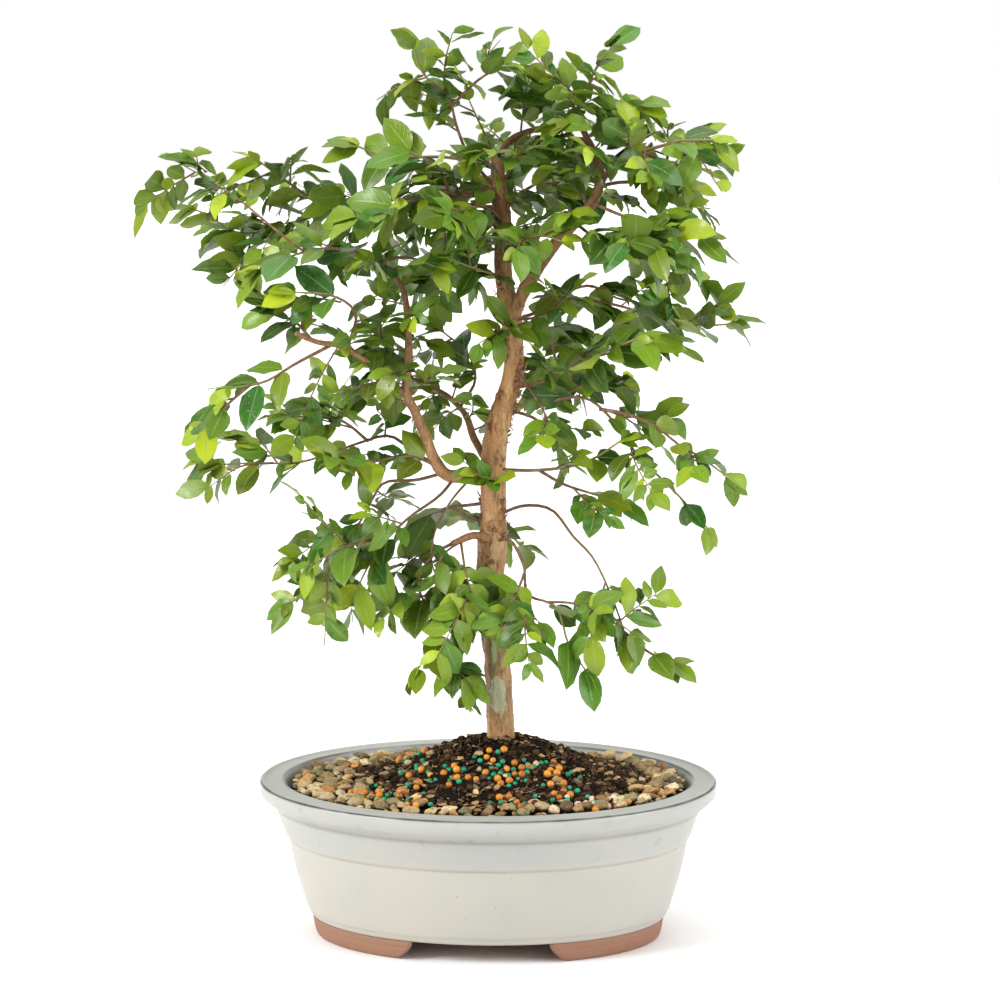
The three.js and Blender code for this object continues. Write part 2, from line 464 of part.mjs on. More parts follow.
// Leafy sprays. Each twig names the share of it that bears no leaves, its leaves' length, and its
// path as [across, behind, height]. The first twig grows from the wood, the others from it.
const SPRAYS = {
  spray_top_left: [
    twig(0.42, 29, [[6, 6, 412], [-3, 1, 424], [-11, -4, 432], [-16, -8, 441], [-17, -10, 451],
      [-19, -11, 460], [-26, -13, 468], [-33, -15, 473], [-38, -16, 481], [-40, -17, 489]]),
    twig(0.3, 26, [[-18, -11, 458], [-10, -16, 468], [0, -20, 475], [9, -22, 480]]),
  ],
  spray_top_middle: [
    twig(0.3, 31, [[35, 18, 448], [37, 13, 454], [36, 7, 461], [33, 3, 468]]),
  ],
  spray_top_right: [
    twig(0.15, 27, [[51, -2, 461], [55, -2, 472], [61, -3, 482], [67, -4, 490]]),
    twig(0.3, 29, [[54, -2, 470], [62, -10, 464], [72, -14, 460], [80, -16, 458]]),
  ],
  spray_right_high: [
    twig(0.15, 27, [[78, -24, 432], [88, -28, 435], [98, -32, 438], [110, -36, 440], [122, -39, 440]]),
    twig(0.3, 28, [[84, -26, 433.5], [92, -19, 429.5], [101, -13, 425.5], [112, -9, 427], [124, -6, 430]]),
  ],
  spray_right_upper: [
    twig(0.35, 29, [[60, -12, 415], [70, -4, 417], [83, 4, 417], [94, 10, 415], [104, 13, 409],
      [114, 16, 403]]),
    twig(0.6, 14, [[92, 9, 415.5], [97, 4, 424], [96, 1, 434], [97, -1, 446]]),
  ],
  spray_right_bright: [
    twig(0.3, 30, [[57, -14, 406], [68, -26, 401], [80, -34, 397], [92, -40, 393], [104, -44, 390],
      [116, -46, 387]]),
  ],
  spray_right_front: [
    twig(0.25, 32, [[48, -14, 395], [56, -30, 389], [68, -44, 386], [80, -54, 384], [92, -62, 381]]),
  ],
  spray_right_back: [
    twig(0.25, 30, [[38, -12, 384], [50, 6, 386], [62, 26, 386], [76, 42, 384], [90, 52, 379],
      [104, 58, 371], [117, 62, 364]]),
  ],
  spray_right_middle: [
    twig(0.28, 30, [[13, 1, 342], [25, 8, 345], [36, 14, 353], [50, 20, 354], [64, 26, 352],
      [79, 30, 348.5], [93, 34, 342.5], [106, 37, 340], [120, 39, 340], [134, 40, 341]]),
    twig(0.3, 29, [[36, 14, 353], [46, 26, 359], [57, 38, 361], [69, 48, 355], [82, 56, 352]]),
  ],
  spray_right_glossy: [
    twig(0.3, 34, [[14, -1, 305], [26, -8, 307], [34, -14, 311], [42, -20, 315], [50, -26, 319],
      [57, -30, 321.5], [65, -34, 325.5], [73, -38, 330], [82, -42, 333]]),
  ],
  spray_right_long: [
    twig(0.35, 23, [[11, -1, 296], [22, -4, 296.5], [29, -6, 295.5], [37, -8, 298], [45, -11, 301],
      [53, -14, 300.5], [61, -17, 294.5], [69, -20, 287], [78, -24, 275], [84, -27, 266],
      [93, -30, 258], [100, -32, 251], [108, -34, 243], [116, -36, 234], [121, -37, 228]]),
    twig(0.2, 25, [[61, -17, 294.5], [73, -26, 292], [86, -34, 288], [98, -40, 280],
      [108, -44, 272], [118, -48, 267], [130, -52, 258]]),
  ],
  spray_right_inner: [
    twig(0.45, 22, [[9, 2, 294], [22, 10, 291], [29, 16, 286], [35, 22, 278.5], [40, 26, 271],
      [43, 30, 264]]),
  ],
  spray_right_round: [
    twig(0.5, 22, [[4, -2, 260.5], [17, -6, 261], [28, -10, 260], [40, -15, 262.5], [50, -19, 262.5],
      [57, -23, 266], [65, -27, 272], [73, -31, 277]]),
    twig(0.5, 24, [[28, -10, 260], [38, -8, 254], [48, -6, 250.5], [60, -4, 246.5], [73, -2, 242.5]]),
  ],
  spray_right_low: [
    twig(0.6, 29, [[5, -1, 235], [14, -3, 239.5], [21, -5, 240.5], [29, -7, 240], [38, -10, 236.5],
      [44, -12, 227.5], [49.5, -14, 220.5], [56, -16, 213.5], [62, -18, 206.5], [67, -20, 193],
      [74, -24, 178], [77, -27, 166]]),
    twig(0.25, 25, [[76, -26, 170], [84, -30, 162.5], [92, -33, 158], [101, -36, 153.5]]),
  ],
  spray_right_arch: [
    twig(0.48, 28, [[4, -3, 221], [7, -10, 224.5], [12, -14, 221.5], [16.5, -16, 216], [19.5, -18, 209],
      [20, -19, 202], [20, -20, 194], [25, -23, 189], [32, -27, 187], [40, -31, 182], [43, -34, 172],
      [45, -36, 162], [50, -39, 155], [54, -41, 149]]),
    twig(0.1, 25, [[20, -20, 195], [12, -23, 190], [4, -25, 187], [-5, -28, 184]]),
  ],
  spray_pendant: [
    twig(0.25, 28, [[-15, -16, 221.5], [-24, -21, 216], [-32, -24, 211], [-39, -27, 202],
      [-37, -29, 192], [-33, -31, 183], [-31, -32, 175], [-30, -33, 167], [-34, -34, 157],
      [-39, -35, 148]]),
    twig(0.3, 27, [[-30, -33, 168], [-22, -31, 157], [-14, -29, 147]]),
  ],
  spray_left_under: [
    twig(0.35, 28, [[-18, -9, 256], [-23, -13, 248], [-34, -18, 241], [-46, -24, 231], [-56, -29, 221],
      [-62, -33, 212], [-68, -36, 203], [-72, -38, 194]]),
    twig(0.2, 28, [[-50, -26, 227], [-60, -38, 222], [-72, -47, 219], [-86, -52, 214], [-98, -54, 206]]),
  ],
  spray_left_low: [
    twig(0.45, 29, [[-25, -11, 258], [-35, -4, 254.5], [-45, 4, 254], [-57, 10, 252.5], [-63, 14, 245],
      [-67, 17, 236], [-73, 20, 227], [-80, 23, 220], [-92, 26, 214], [-104, 28, 208]]),
    twig(0.1, 30, [[-80, 23, 220], [-84, 20, 207], [-90, 16, 197], [-99, 13, 190], [-108, 11, 186]]),
  ],
  spray_left_row: [
    twig(0.38, 29, [[-27, -12, 262], [-35, -8, 265], [-42, -5, 271], [-50, -2, 277], [-59, 0, 279],
      [-69, 2, 275], [-78, 4, 272], [-88, 6, 268], [-99, 8, 263], [-111, 8, 263.5],
      [-123, 8, 263], [-135, 8, 263], [-147, 8, 262]]),
    twig(0.3, 29, [[-66, 1, 277], [-74, -10, 283], [-83, -20, 288], [-93, -27, 291]]),
  ],
  spray_left_far: [
    twig(0.2, 28, [[-86, -39, 328], [-96, -44, 322.5], [-105, -48, 318], [-113, -52, 312],
      [-122, -56, 308], [-132, -59, 306], [-141, -61, 304]]),
    twig(0.2, 26, [[-130, -58.5, 306.5], [-139, -62, 299], [-147, -64, 291], [-154, -66, 283]]),
  ],
  spray_left_stub: [
    twig(0.2, 27, [[-96, -43.5, 330.5], [-102, -38, 338], [-109, -33, 343], [-118, -30, 346]]),
  ],
  spray_left_bright: [
    twig(0.3, 30, [[-77, -35.5, 326], [-75, -40, 336], [-72, -43, 345], [-75, -48, 352],
      [-84, -54, 355], [-95, -58, 356], [-105, -60, 357]]),
  ],
  spray_left_upper: [
    twig(0.2, 31, [[-50, -8, 366], [-58, -16, 372], [-66, -24, 376], [-76, -30, 380], [-88, -36, 381],
      [-100, -40, 379], [-112, -43, 375], [-123, -46, 371]]),
    twig(0.3, 29, [[-60, -18, 373.5], [-50, -30, 376], [-38, -40, 375], [-28, -46, 371]]),
  ],
  spray_left_inner: [
    twig(0.35, 29, [[7, 5, 396], [-6, 12, 396.5], [-17, 18, 394], [-28, 22, 390], [-40, 25, 386],
      [-50, 26, 383], [-58, 26, 378], [-67, 25, 372]]),
  ],
  spray_left_front: [
    twig(0.1, 31, [[-15, -12, 408.5], [-22, -20, 412], [-32, -28, 411], [-44, -36, 406], [-58, -42, 401],
      [-72, -46, 397]]),
    twig(0.1, 33, [[-20, -18, 411], [-23, -24, 421], [-32, -28, 429], [-42, -30, 433]]),
  ],
  spray_left_high: [
    twig(0.35, 29, [[8, 6, 404], [-8, 24, 404], [-24, 34, 402.5], [-42, 42, 401], [-58, 47, 400],
      [-72, 50, 400], [-87, 52, 401], [-98, 52, 397], [-109, 52, 393], [-120, 52, 390],
      [-132, 52, 389], [-143, 52, 391], [-152, 52, 399], [-160, 52, 402]]),
    twig(0.15, 28, [[-87, 52, 401], [-97, 46, 408.5], [-107, 42, 415.5], [-116, 39, 422], [-124, 37, 428]]),
  ],
  spray_crown_left: [
    twig(0.3, 30, [[5, 7, 424], [-8, 16, 428], [-20, 22, 430], [-34, 24, 431], [-48, 25, 430],
      [-60, 26, 432], [-70, 26, 436]]),
  ],
  spray_crown_back: [
    twig(0.2, 30, [[8, 6, 400], [13, 24, 406], [15, 44, 412], [13, 64, 416], [9, 82, 418]]),
    twig(0.2, 29, [[14, 34, 409.5], [28, 46, 417], [40, 60, 421], [48, 76, 423]]),
  ],
  spray_back_left: [
    twig(0.25, 30, [[8, 5, 388], [-6, 28, 380], [-22, 52, 377], [-36, 74, 374], [-46, 92, 370]]),
    twig(0.2, 29, [[-14, 40, 378.5], [-34, 48, 368], [-52, 58, 360], [-66, 68, 352]]),
  ],
  spray_back_right: [
    twig(0.25, 30, [[14, 1, 334], [26, 24, 338], [38, 46, 338], [46, 68, 336], [50, 88, 332]]),
    twig(0.2, 29, [[32, 36, 338], [36, 54, 326], [36, 70, 314], [30, 84, 304]]),
  ],
  spray_back_low: [
    twig(0.25, 29, [[0, 2, 242], [-14, 22, 240], [-26, 42, 238], [-36, 60, 232], [-42, 76, 224]]),
    twig(0.2, 28, [[-20, 32, 239], [-6, 50, 232], [8, 66, 226], [20, 80, 218]]),
  ],
  spray_front_leader: [
    twig(0.2, 27, [[16, -2, 352], [14, -12, 362], [8, -20, 365], [0, -28, 368], [-10, -34, 372],
      [-22, -38, 376]]),
  ],
  spray_front_trunk: [
    twig(0.6, 27, [[11, -2, 334], [11, -10, 336], [12, -18, 339]]),
  ],
  spray_trunk_tuft: [
    twig(0.6, 20, [[3, -3, 250], [2, -10, 252], [1, -16, 255]]),
  ],
  spray_back_cluster: [
    twig(0.15, 30, [[-31, 22, 305.5], [-39, 24, 310.5], [-48, 28, 313], [-58, 32, 315.5], [-66, 36, 319]]),
  ],
  spray_inner_cluster: [
    twig(0.4, 30, [[-15, 16, 295], [-9, 20, 304], [-6.5, 23, 312], [-9, 26, 321], [-16, 29, 330],
      [-26, 32, 337]]),
  ],
};

function twig(bare, leafLength, path) {
  return { bare, leafLength, path };
}

const TWIG_ROOT_RADIUS = 1.45;
const TWIG_TIP_RADIUS = 0.65;

// The place at a share t of a twig's straight lengths
function placeOn(curve, t) {
  const steps = stepCount(curve, TWIG_STEP);
  const joint = Math.min(Math.floor(t * steps), steps - 1);
  return curve.getPoint(joint / steps).lerp(curve.getPoint((joint + 1) / steps), t * steps - joint);
}

// The twigs of a spray as smooth curves. All but the first begin at the nearest place on the first.
function twigCurves(twigs) {
  const curves = twigs.map(({ path }) => smoothPath(path.map(fromFront)));
  curves.slice(1).forEach(({ points }) => {
    const places = Array.from({ length: 101 }, (_, i) => placeOn(curves[0], i / 100));
    points[0] = places.reduce((best, place) => (
      place.distanceTo(points[0]) < best.distanceTo(points[0]) ? place : best
    ));
  });
  return curves;
}

function twigSolid(curve) {
  const last = curve.points.length - 1;
  const radii = curve.points.map((_, i) => (
    TWIG_ROOT_RADIUS + (TWIG_TIP_RADIUS - TWIG_ROOT_RADIUS) * i / last
  ));
  return stem(curve.points, radii, TWIG_SIDES, TWIG_STEP);
}

// Opposite pairs of leaves along a twig, down to the pair at its tip. Each leaf leans out from the
// twig and hangs a little, and turns its face up and out from the crown's axis.
function leavesOf(curve, { bare, leafLength }, seed, attempt) {
  const pairs = Math.max(1, stepCount(curve, PAIR_SPACING / (1 - bare)));
  const leaves = [];
  for (let pair = 0; pair < pairs; pair += 1) {
    const t = LAST_PAIR - (LAST_PAIR - bare) * (pairs - 1 - pair) / pairs;
    for (let side = 0; side < 2; side += 1) {
      leaves.push(leafAt(curve, t, side, pair, leafLength, seed + 2 * pair + side, attempt));
    }
  }
  return leaves;
}

function leafAt(curve, t, side, pair, leafLength, seed, attempt) {
  const atTip = t === LAST_PAIR;
  const along = tangentAt(curve, t);
  const level = new THREE.Vector3().crossVectors(along, new THREE.Vector3(0.05, -0.08, 1)).normalize();
  const rise = new THREE.Vector3().crossVectors(level, along);
  const swing = attempt * NEXT_TRY.swing * (side === 0 ? 1 : -1) * (seed % 2 === 0 ? 1 : -1);
  const roll = side * Math.PI + (pair % 2) * PAIR_TURN + between(...LEAF_ROLL, seed, 1) + swing;
  const lean = between(...LEAF_LEAN, seed, 2) + (atTip ? LAST_PAIR_CHANGE.lean : 0);
  const direction = new THREE.Vector3()
    .addScaledVector(along, Math.cos(lean))
    .addScaledVector(level, Math.sin(lean) * Math.cos(roll))
    .addScaledVector(rise, Math.sin(lean) * Math.sin(roll))
    .addScaledVector(UP, -between(...LEAF_HANG, seed, 3) - NEXT_TRY.hang * attempt)
    .normalize();
  const sideways = direction.clone().addScaledVector(along, -direction.dot(along)).normalize();
  const root = placeOn(curve, t).addScaledVector(sideways, LEAF_ROOT_OFFSET);
  const outward = new THREE.Vector3((root.x - CROWN.x) * CROWN.flatness, root.y - CROWN.y, 0).normalize();
  const facing = new THREE.Vector3(
    between(...LEAF_SWAY, seed, 4),
    between(...LEAF_SWAY, seed, 5),
    between(...LEAF_UPWARD, seed, 6),
  ).addScaledVector(outward, LEAF_OUTWARD);
  facing.addScaledVector(direction, -facing.dot(direction)).normalize();
  const grown = leafLength * between(...LEAF_GROWTH, seed, 7) * (atTip ? LAST_PAIR_CHANGE.length : 1);
  const length = grown * NEXT_TRY.length ** attempt;
  return {
    root,
    direction,
    facing,
    length,
    halfWidth: length * LEAF_WIDTH_SHARE * between(...LEAF_HALF_SLIMNESS, seed, 8),
    bend: between(...LEAF_BEND, seed, 10),
  };
}

// A drooping blade of even thickness. Both faces share one pattern of triangles, and the blade
// narrows to an upright edge at its root and its tip.
function leafSolid({ root, direction, facing, length, halfWidth, bend }, grow = 0) {
  const side = new THREE.Vector3().crossVectors(direction, facing);
  const lift = LEAF_THICKNESS / 2 + grow;
  const positions = [];
  LEAF_ROWS.forEach(([share, width]) => {
    const turn = bend * share;
    const reach = (length + grow) / bend;
    const middle = root.clone()
      .addScaledVector(direction, reach * Math.sin(turn))
      .addScaledVector(facing, -reach * (1 - Math.cos(turn)));
    const normal = facing.clone().multiplyScalar(Math.cos(turn)).addScaledVector(direction, Math.sin(turn));
    const edges = width === 0 ? [0] : [-1, 1];
    edges.forEach((edge) => [lift, -lift].forEach((offset) => {
      const point = middle.clone()
        .addScaledVector(side, edge * width * (halfWidth + grow))
        .addScaledVector(normal, offset);
      positions.push(point.x, point.y, point.z);
    }));
  });
  const geometry = new THREE.BufferGeometry();
  geometry.setAttribute('position', new THREE.Float32BufferAttribute(positions, 3));
  geometry.setIndex(LEAF_TRIANGLES.flat());
  return toSolid(geometry);
}

function overlap(a, b) {
  const [first, second] = [a.boundingBox(), b.boundingBox()];
  const apart = [0, 1, 2].some((axis) => (
    first.max[axis] < second.min[axis] || second.max[axis] < first.min[axis]
  ));
  return apart ? 0 : a.intersect(b).volume();
}

// Leaves are set one by one. A leaf that would touch another spray, the wood or the pot is bent
// clear of it, and is left out where no bend helps. Within a spray leaves may only meet at the stem.
const OWN_OVERLAP_LIMIT = 1.5;

function makeSprays(fixed) {
  const sprays = Object.entries(SPRAYS).map(([name, twigs]) => {
    const curves = twigCurves(twigs);
    return { name, twigs, curves, stems: curves.map(twigSolid), leaves: [] };
  });
  sprays.forEach((spray, index) => {
    const others = sprays.filter((other) => other !== spray);
    const strangers = [...fixed, ...others.flatMap((other) => [...other.stems, ...other.leaves])];
    const fits = (leaf) => {
      const guard = leafSolid(leaf, CLEARANCE);
      return strangers.every((solid) => overlap(guard, solid) === 0)
        && spray.leaves.every((solid) => overlap(guard, solid) < OWN_OVERLAP_LIMIT);
    };
    spray.curves.forEach((curve, twigIndex) => {
      const seed = 1000 * index + 100 * twigIndex;
      const attempts = Array.from({ length: LEAF_TRIES }, (_, attempt) => (
        leavesOf(curve, spray.twigs[twigIndex], seed, attempt)
      ));
      attempts[0].forEach((_, leafIndex) => {
        const chosen = attempts.map((leaves) => leaves[leafIndex]).find(fits);
        if (chosen) {
          spray.leaves.push(leafSolid(chosen));
        }
      });
    });
  });
  return sprays;
}

function colour(hex, roughness) {
  return new THREE.MeshStandardMaterial({ color: hex, roughness, metalness: 0 });
}

const wood = makeWood(0);
const woodRoom = makeWood(CLEARANCE);
const pot = makePot();
const gravel = makeGravel();
const soil = makeSoil(woodRoom);

const pieces = [
  ['pot', pot, colour(0xcfcab6, 0.35)],
  ['drain_screen_left', makeScreen(-1, 0), colour(0x202322, 0.6)],
  ['drain_screen_right', makeScreen(1, 0), colour(0x202322, 0.6)],
  ['soil', soil, colour(0x2b211b, 0.95)],
  ['gravel', gravel, colour(0xa8927a, 0.85)],
  ['wood', wood, colour(0x8a6547, 0.8)],
];
for (const { name, stems, leaves } of makeSprays([woodRoom, pot, soil, gravel])) {
  const whole = union([...stems, ...leaves]).subtract(woodRoom);
  pieces.push([name, largestPiece(whole), colour(0x5c8a2e, 0.5)]);
}

const group = new THREE.Group();
for (const [name, solid, material] of pieces) {
  const mesh = new THREE.Mesh(toGeometry(solid), material);
  mesh.name = name;
  group.add(mesh);
}

// The origin is the middle of the whole thing's outline, on the surface it stands on
const outline = new THREE.Box3().setFromObject(group);
const middle = outline.getCenter(new THREE.Vector3());
for (const mesh of group.children) {
  mesh.geometry.translate(-middle.x, -middle.y, -outline.min.z);
}

export default group;
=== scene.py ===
# A jaboticaba bonsai in an oval glazed pot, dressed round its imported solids.
# Places are worked out in millimetres from the middle of the pot's sole, and +Z is up. The front
# of the tree faces -Y.

import bmesh
import bpy
import numpy as np
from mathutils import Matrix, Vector


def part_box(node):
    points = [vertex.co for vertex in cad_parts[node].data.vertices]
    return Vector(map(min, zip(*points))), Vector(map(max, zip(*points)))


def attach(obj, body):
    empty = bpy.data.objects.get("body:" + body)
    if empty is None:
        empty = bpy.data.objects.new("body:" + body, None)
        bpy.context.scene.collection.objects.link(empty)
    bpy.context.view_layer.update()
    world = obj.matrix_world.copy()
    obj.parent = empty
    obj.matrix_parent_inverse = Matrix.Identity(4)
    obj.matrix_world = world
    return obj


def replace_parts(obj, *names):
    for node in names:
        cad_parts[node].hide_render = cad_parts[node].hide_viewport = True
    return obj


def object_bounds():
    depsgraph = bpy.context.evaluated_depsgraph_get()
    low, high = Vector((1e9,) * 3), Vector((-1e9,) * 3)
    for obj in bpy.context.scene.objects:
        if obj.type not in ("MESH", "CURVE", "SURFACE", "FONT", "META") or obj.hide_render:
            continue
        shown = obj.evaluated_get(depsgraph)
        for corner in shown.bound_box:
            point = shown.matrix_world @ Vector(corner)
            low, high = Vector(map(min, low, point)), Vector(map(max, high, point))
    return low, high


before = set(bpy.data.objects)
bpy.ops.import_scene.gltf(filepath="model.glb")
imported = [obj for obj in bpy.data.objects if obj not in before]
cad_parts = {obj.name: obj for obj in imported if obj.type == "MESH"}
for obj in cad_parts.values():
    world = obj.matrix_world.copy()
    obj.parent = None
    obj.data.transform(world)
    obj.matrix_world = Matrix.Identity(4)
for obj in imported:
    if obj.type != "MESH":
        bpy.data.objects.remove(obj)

cad_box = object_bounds()


# The pot: one piece of stoneware pressed in an oval mould, dipped in thick ivory glaze down to its
# foot line and fired. The glaze runs thin and dark on the rim's edge and blue-grey on its top.
MM = 0.001
POT_LOW, POT_HIGH = (np.array(corner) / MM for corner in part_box("pot"))
SOLE_MIDDLE = np.array([*(POT_LOW + POT_HIGH)[:2] / 2, POT_LOW[2]])
POT_HEIGHT = POT_HIGH[2] - POT_LOW[2]
FOOT_LINE = 11
RIM_UNDERSIDE = 80
RIM_TOP = 86
FLOOR_TOP = 19
LENGTH_OVER_WIDTH_AT_RIM = 24.5
LENGTH_OVER_WIDTH_AT_SOLE = 30
DRAIN_HOLE_RADIUS = 11
DRAIN_HOLE_SPACING = 104
RIM_HALF_LENGTH = 127
POT_OUTLINE = [
    (90, 11), (97.6, 11), (99.4, 12.6), (100.2, 14.6), (101.3, 16), (103, 22), (107, 36), (109.2, 46),
    (110.4, 52.5), (110.9, 55.6), (112.2, 57), (113.6, 60.5), (116, 67), (117.4, 71.4), (119.4, 74.8),
    (123.8, 78), (126, 80), (RIM_HALF_LENGTH, 82.6), (RIM_HALF_LENGTH, 85.4), (126.5, 87.2),
    (125.2, POT_HEIGHT), (123.9, 87.6), (122.4, 87.1), (117, 87.5), (114.3, POT_HEIGHT), (112.9, 87.4),
    (111.6, 84.5), (107.5, 70), (102.5, 52), (95, 30), (91, FLOOR_TOP),
]
POT_ANGLES = 144
MERGE_DISTANCE = 0.002
IVORY = (0.455, 0.43, 0.37, 1)
# The glaze's blue-grey, also mixed in as painted shade on the band above the step and under the lip
PALE_BLUE_AND_SHADE = (0.375, 0.39, 0.375, 1)
# Dark thin glaze for the rim's edges and the pinholes, also mixed in as painted shade at the neck under the
# lip
THIN_GLAZE_AND_SHADE = (0.03, 0.032, 0.03, 1)
CLAY_IN_GLAZE = (0.36, 0.27, 0.22, 1)
# Where the glaze runs thin or lets the clay show through, and where shade is painted under the lip: two edges
# as half length and height, and the heights of the neck, the painted shade above it, the step and the foot's
# seam
RIM_OUTER_EDGE = (126.1, 87.3)
RIM_INNER_EDGE = (113.5, 87.6)
NECK_HEIGHT = 73.6
UNDER_LIP_SHADE_HEIGHT = 75
STEP_HEIGHT = 56
SEAM_HEIGHT = 15.2
# The half lengths past which these heights lie on the wall's outside, and the one that ends its inside
OUTSIDE_AT_NECK = 115
OUTSIDE_AT_STEP = 108
OUTSIDE_AT_SEAM = 99
INSIDE_HALF_LENGTH = 112.5
BARE_CLAY = (0.31, 0.165, 0.105, 1)
BROWNER_CLAY = (0.27, 0.125, 0.08, 1)


class Socket:
    """A shader node's output. Operators on it add Math nodes, so that maths reads as an expression,
    and node() adds a node of any other type to the same tree."""

    def __init__(self, tree, output=None):
        self.tree = tree
        self.output = output

    def node(self, kind, settings=None, inputs=None, output=0):
        """Adds a node, sets its settings, then its inputs' values or links, and gives an output."""
        made = self.tree.nodes.new("ShaderNode" + kind)
        for name, value in (settings or {}).items():
            if name == "stops":
                stops = made.color_ramp.elements
                for number, (place, colour) in enumerate(value):
                    stop = stops[number] if number < 2 else stops.new(place)
                    stop.position = place
                    stop.color = colour
            else:
                setattr(made, name, value)
        for name, value in (inputs or {}).items():
            if isinstance(value, Socket):
                self.tree.links.new(value.output, made.inputs[name])
            else:
                made.inputs[name].default_value = value
        return Socket(self.tree, made.outputs[output] if made.outputs else None)

    def math(self, operation, first, second=0.0, third=0.0, clamp=False):
        settings = {"operation": operation, "use_clamp": clamp}
        return self.node("Math", settings, {0: first, 1: second, 2: third})

    def stretched(self, scale):
        """A place whose parts are each multiplied by their scale."""
        return self.node("VectorMath", {"operation": "MULTIPLY"}, {0: self, 1: scale})

    def parts(self):
        """The X, Y and Z of a place, as values."""
        outputs = self.node("SeparateXYZ", {}, {"Vector": self}).output.node.outputs
        return [Socket(self.tree, outputs[name]) for name in "XYZ"]

    def mix(self, first, second, share):
        """The first colour where share is 0, and the second where it is 1."""
        settings = {"data_type": "RGBA", "clamp_factor": True}
        return self.node("Mix", settings, {0: share, 6: first, 7: second}, 2)

    def __add__(self, other):
        return self.math("ADD", self, other)

    __radd__ = __add__

    def __sub__(self, other):
        return self.math("SUBTRACT", self, other)

    def __rsub__(self, other):
        return self.math("SUBTRACT", other, self)

    def __mul__(self, other):
        return self.math("MULTIPLY", self, other)

    __rmul__ = __mul__

    def __truediv__(self, other):
        return self.math("DIVIDE", self, other)

    def __abs__(self):
        return self.math("ABSOLUTE", self)

    def step(self, low, high):
        """0 below low, 1 above high and a smooth rise between, or a fall if low is above high."""
        rising = high > low
        settings = {"interpolation_type": "SMOOTHSTEP"}
        ends = {"From Min": min(low, high), "From Max": max(low, high),
                "To Min": 0.0 if rising else 1.0, "To Max": 1.0 if rising else 0.0}
        return self.node("MapRange", settings, {"Value": self, **ends})


def new_finish(name):
    """An empty material and the place its nodes are added from."""
    material = bpy.data.materials.new(name)
    material.use_nodes = True
    material.node_tree.nodes.clear()
    return material, Socket(material.node_tree)


def coat_with(paint, inputs):
    """Ends a material in a Principled shader with these inputs."""
    shader = paint.node("BsdfPrincipled", {}, inputs)
    paint.node("OutputMaterial", {}, {"Surface": shader})


def object_place(paint):
    return paint.node("TexCoord", {}, {}, "Object")


def noise(paint, place, scale, detail=3.0, roughness=0.55):
    """Noise from 0 to 1 at a scale given in cells per millimetre."""
    values = {"Vector": place, "Scale": scale / MM, "Detail": detail, "Roughness": roughness}
    return paint.node("TexNoise", {}, values)


def dots(paint, place, scale):
    """The distance from the nearest of scattered points, at a scale in cells per millimetre."""
    return paint.node("TexVoronoi", {}, {"Vector": place, "Scale": scale / MM}, "Distance")


def bumps(paint, strength, depth, pattern):
    """A normal that shows a pattern as relief of a depth in millimetres."""
    return paint.node("Bump", {}, {"Strength": strength, "Distance": depth * MM, "Height": pattern})


def attribute(paint, name):
    return paint.node("Attribute", {"attribute_name": name}, {}, "Fac")


def grid_faces(rows, columns, closed=False):
    """Quads of a grid whose point (row, column) is number row * columns + column. Closed joins the
    last column to the first."""
    row, column = np.meshgrid(np.arange(rows - 1), np.arange(columns - (not closed)), indexing="ij")
    after = (column + 1) % columns
    corners = ((row, column), (row, after), (row + 1, after), (row + 1, column))
    return np.stack([r * columns + c for r, c in corners], -1).reshape(-1, 4)


def add_piece(name, points, faces, finishes, smooth=True, finish_numbers=None, values=None, welded=False,
              crease=None):
    """A mesh piece that rides on the part, from points in millimetres. Values are numbers for each
    point, kept as attributes, and welded merges the points that meet along seams and at poles. Where
    faces meet at more than the crease's angle, the edge stays sharp."""
    mesh = bpy.data.meshes.new(name)
    mesh.from_pydata(((points + SOLE_MIDDLE) * MM).tolist(), [], [list(face) for face in faces])
    for key, numbers in (values or {}).items():
        kept = mesh.attributes.new(key, "FLOAT", "POINT")
        kept.data.foreach_set("value", np.asarray(numbers, np.float32))
    for finish in finishes:
        mesh.materials.append(finish)
    if finish_numbers is not None:
        mesh.polygons.foreach_set("material_index", np.asarray(finish_numbers, np.int32))
    if welded:
        work = bmesh.new()
        work.from_mesh(mesh)
        bmesh.ops.remove_doubles(work, verts=work.verts, dist=MERGE_DISTANCE * MM)
        bmesh.ops.recalc_face_normals(work, faces=work.faces)
        work.to_mesh(mesh)
        work.free()
    mesh.polygons.foreach_set("use_smooth", np.full(len(mesh.polygons), smooth))
    mesh.update()
    if crease:
        mesh.set_sharp_from_angle(angle=crease)
    piece = bpy.data.objects.new(name, mesh)
    bpy.context.scene.collection.objects.link(piece)
    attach(piece, "root")
    return piece


def lattice_noise(points, seed=0):
    """Smooth noise from -1 to 1: random numbers on the corners of unit cubes, blended across each
    cube by s * s * (3 - 2 * s) on each axis."""
    cell = np.floor(points)
    share = points - cell
    share = share * share * (3 - 2 * share)
    total = np.zeros(points.shape[:-1])
    for corner in np.ndindex(2, 2, 2):
        wave = np.sin((cell + corner) @ np.array([127.1, 311.7, 74.7]) + 17.3 * seed) * 43758.5453
        total += np.where(corner, share, 1 - share).prod(-1) * (wave - np.floor(wave))
    return 2 * total - 1


def rounded(outline, rounds):
    """Cuts the corners of an outline at a quarter of each side, over and over, and keeps its ends."""
    points = np.array(outline, float)
    for _ in range(rounds):
        sides = np.stack([points[:-1] * 0.75 + points[1:] * 0.25, points[:-1] * 0.25 + points[1:] * 0.75], 1)
        points = np.concatenate([points[:1], sides.reshape(-1, 2), points[-1:]])
    return points


def oval(half_length, height, angle):
    """A point on the pot's oval: half_length * cos along, and less than that by the difference of
    the half axes, times sin, across."""
    slope = (LENGTH_OVER_WIDTH_AT_RIM - LENGTH_OVER_WIDTH_AT_SOLE) / POT_HEIGHT
    half_width = half_length - LENGTH_OVER_WIDTH_AT_SOLE - slope * height
    return np.stack(np.broadcast_arrays(half_length * np.cos(angle), half_width * np.sin(angle), height), -1)


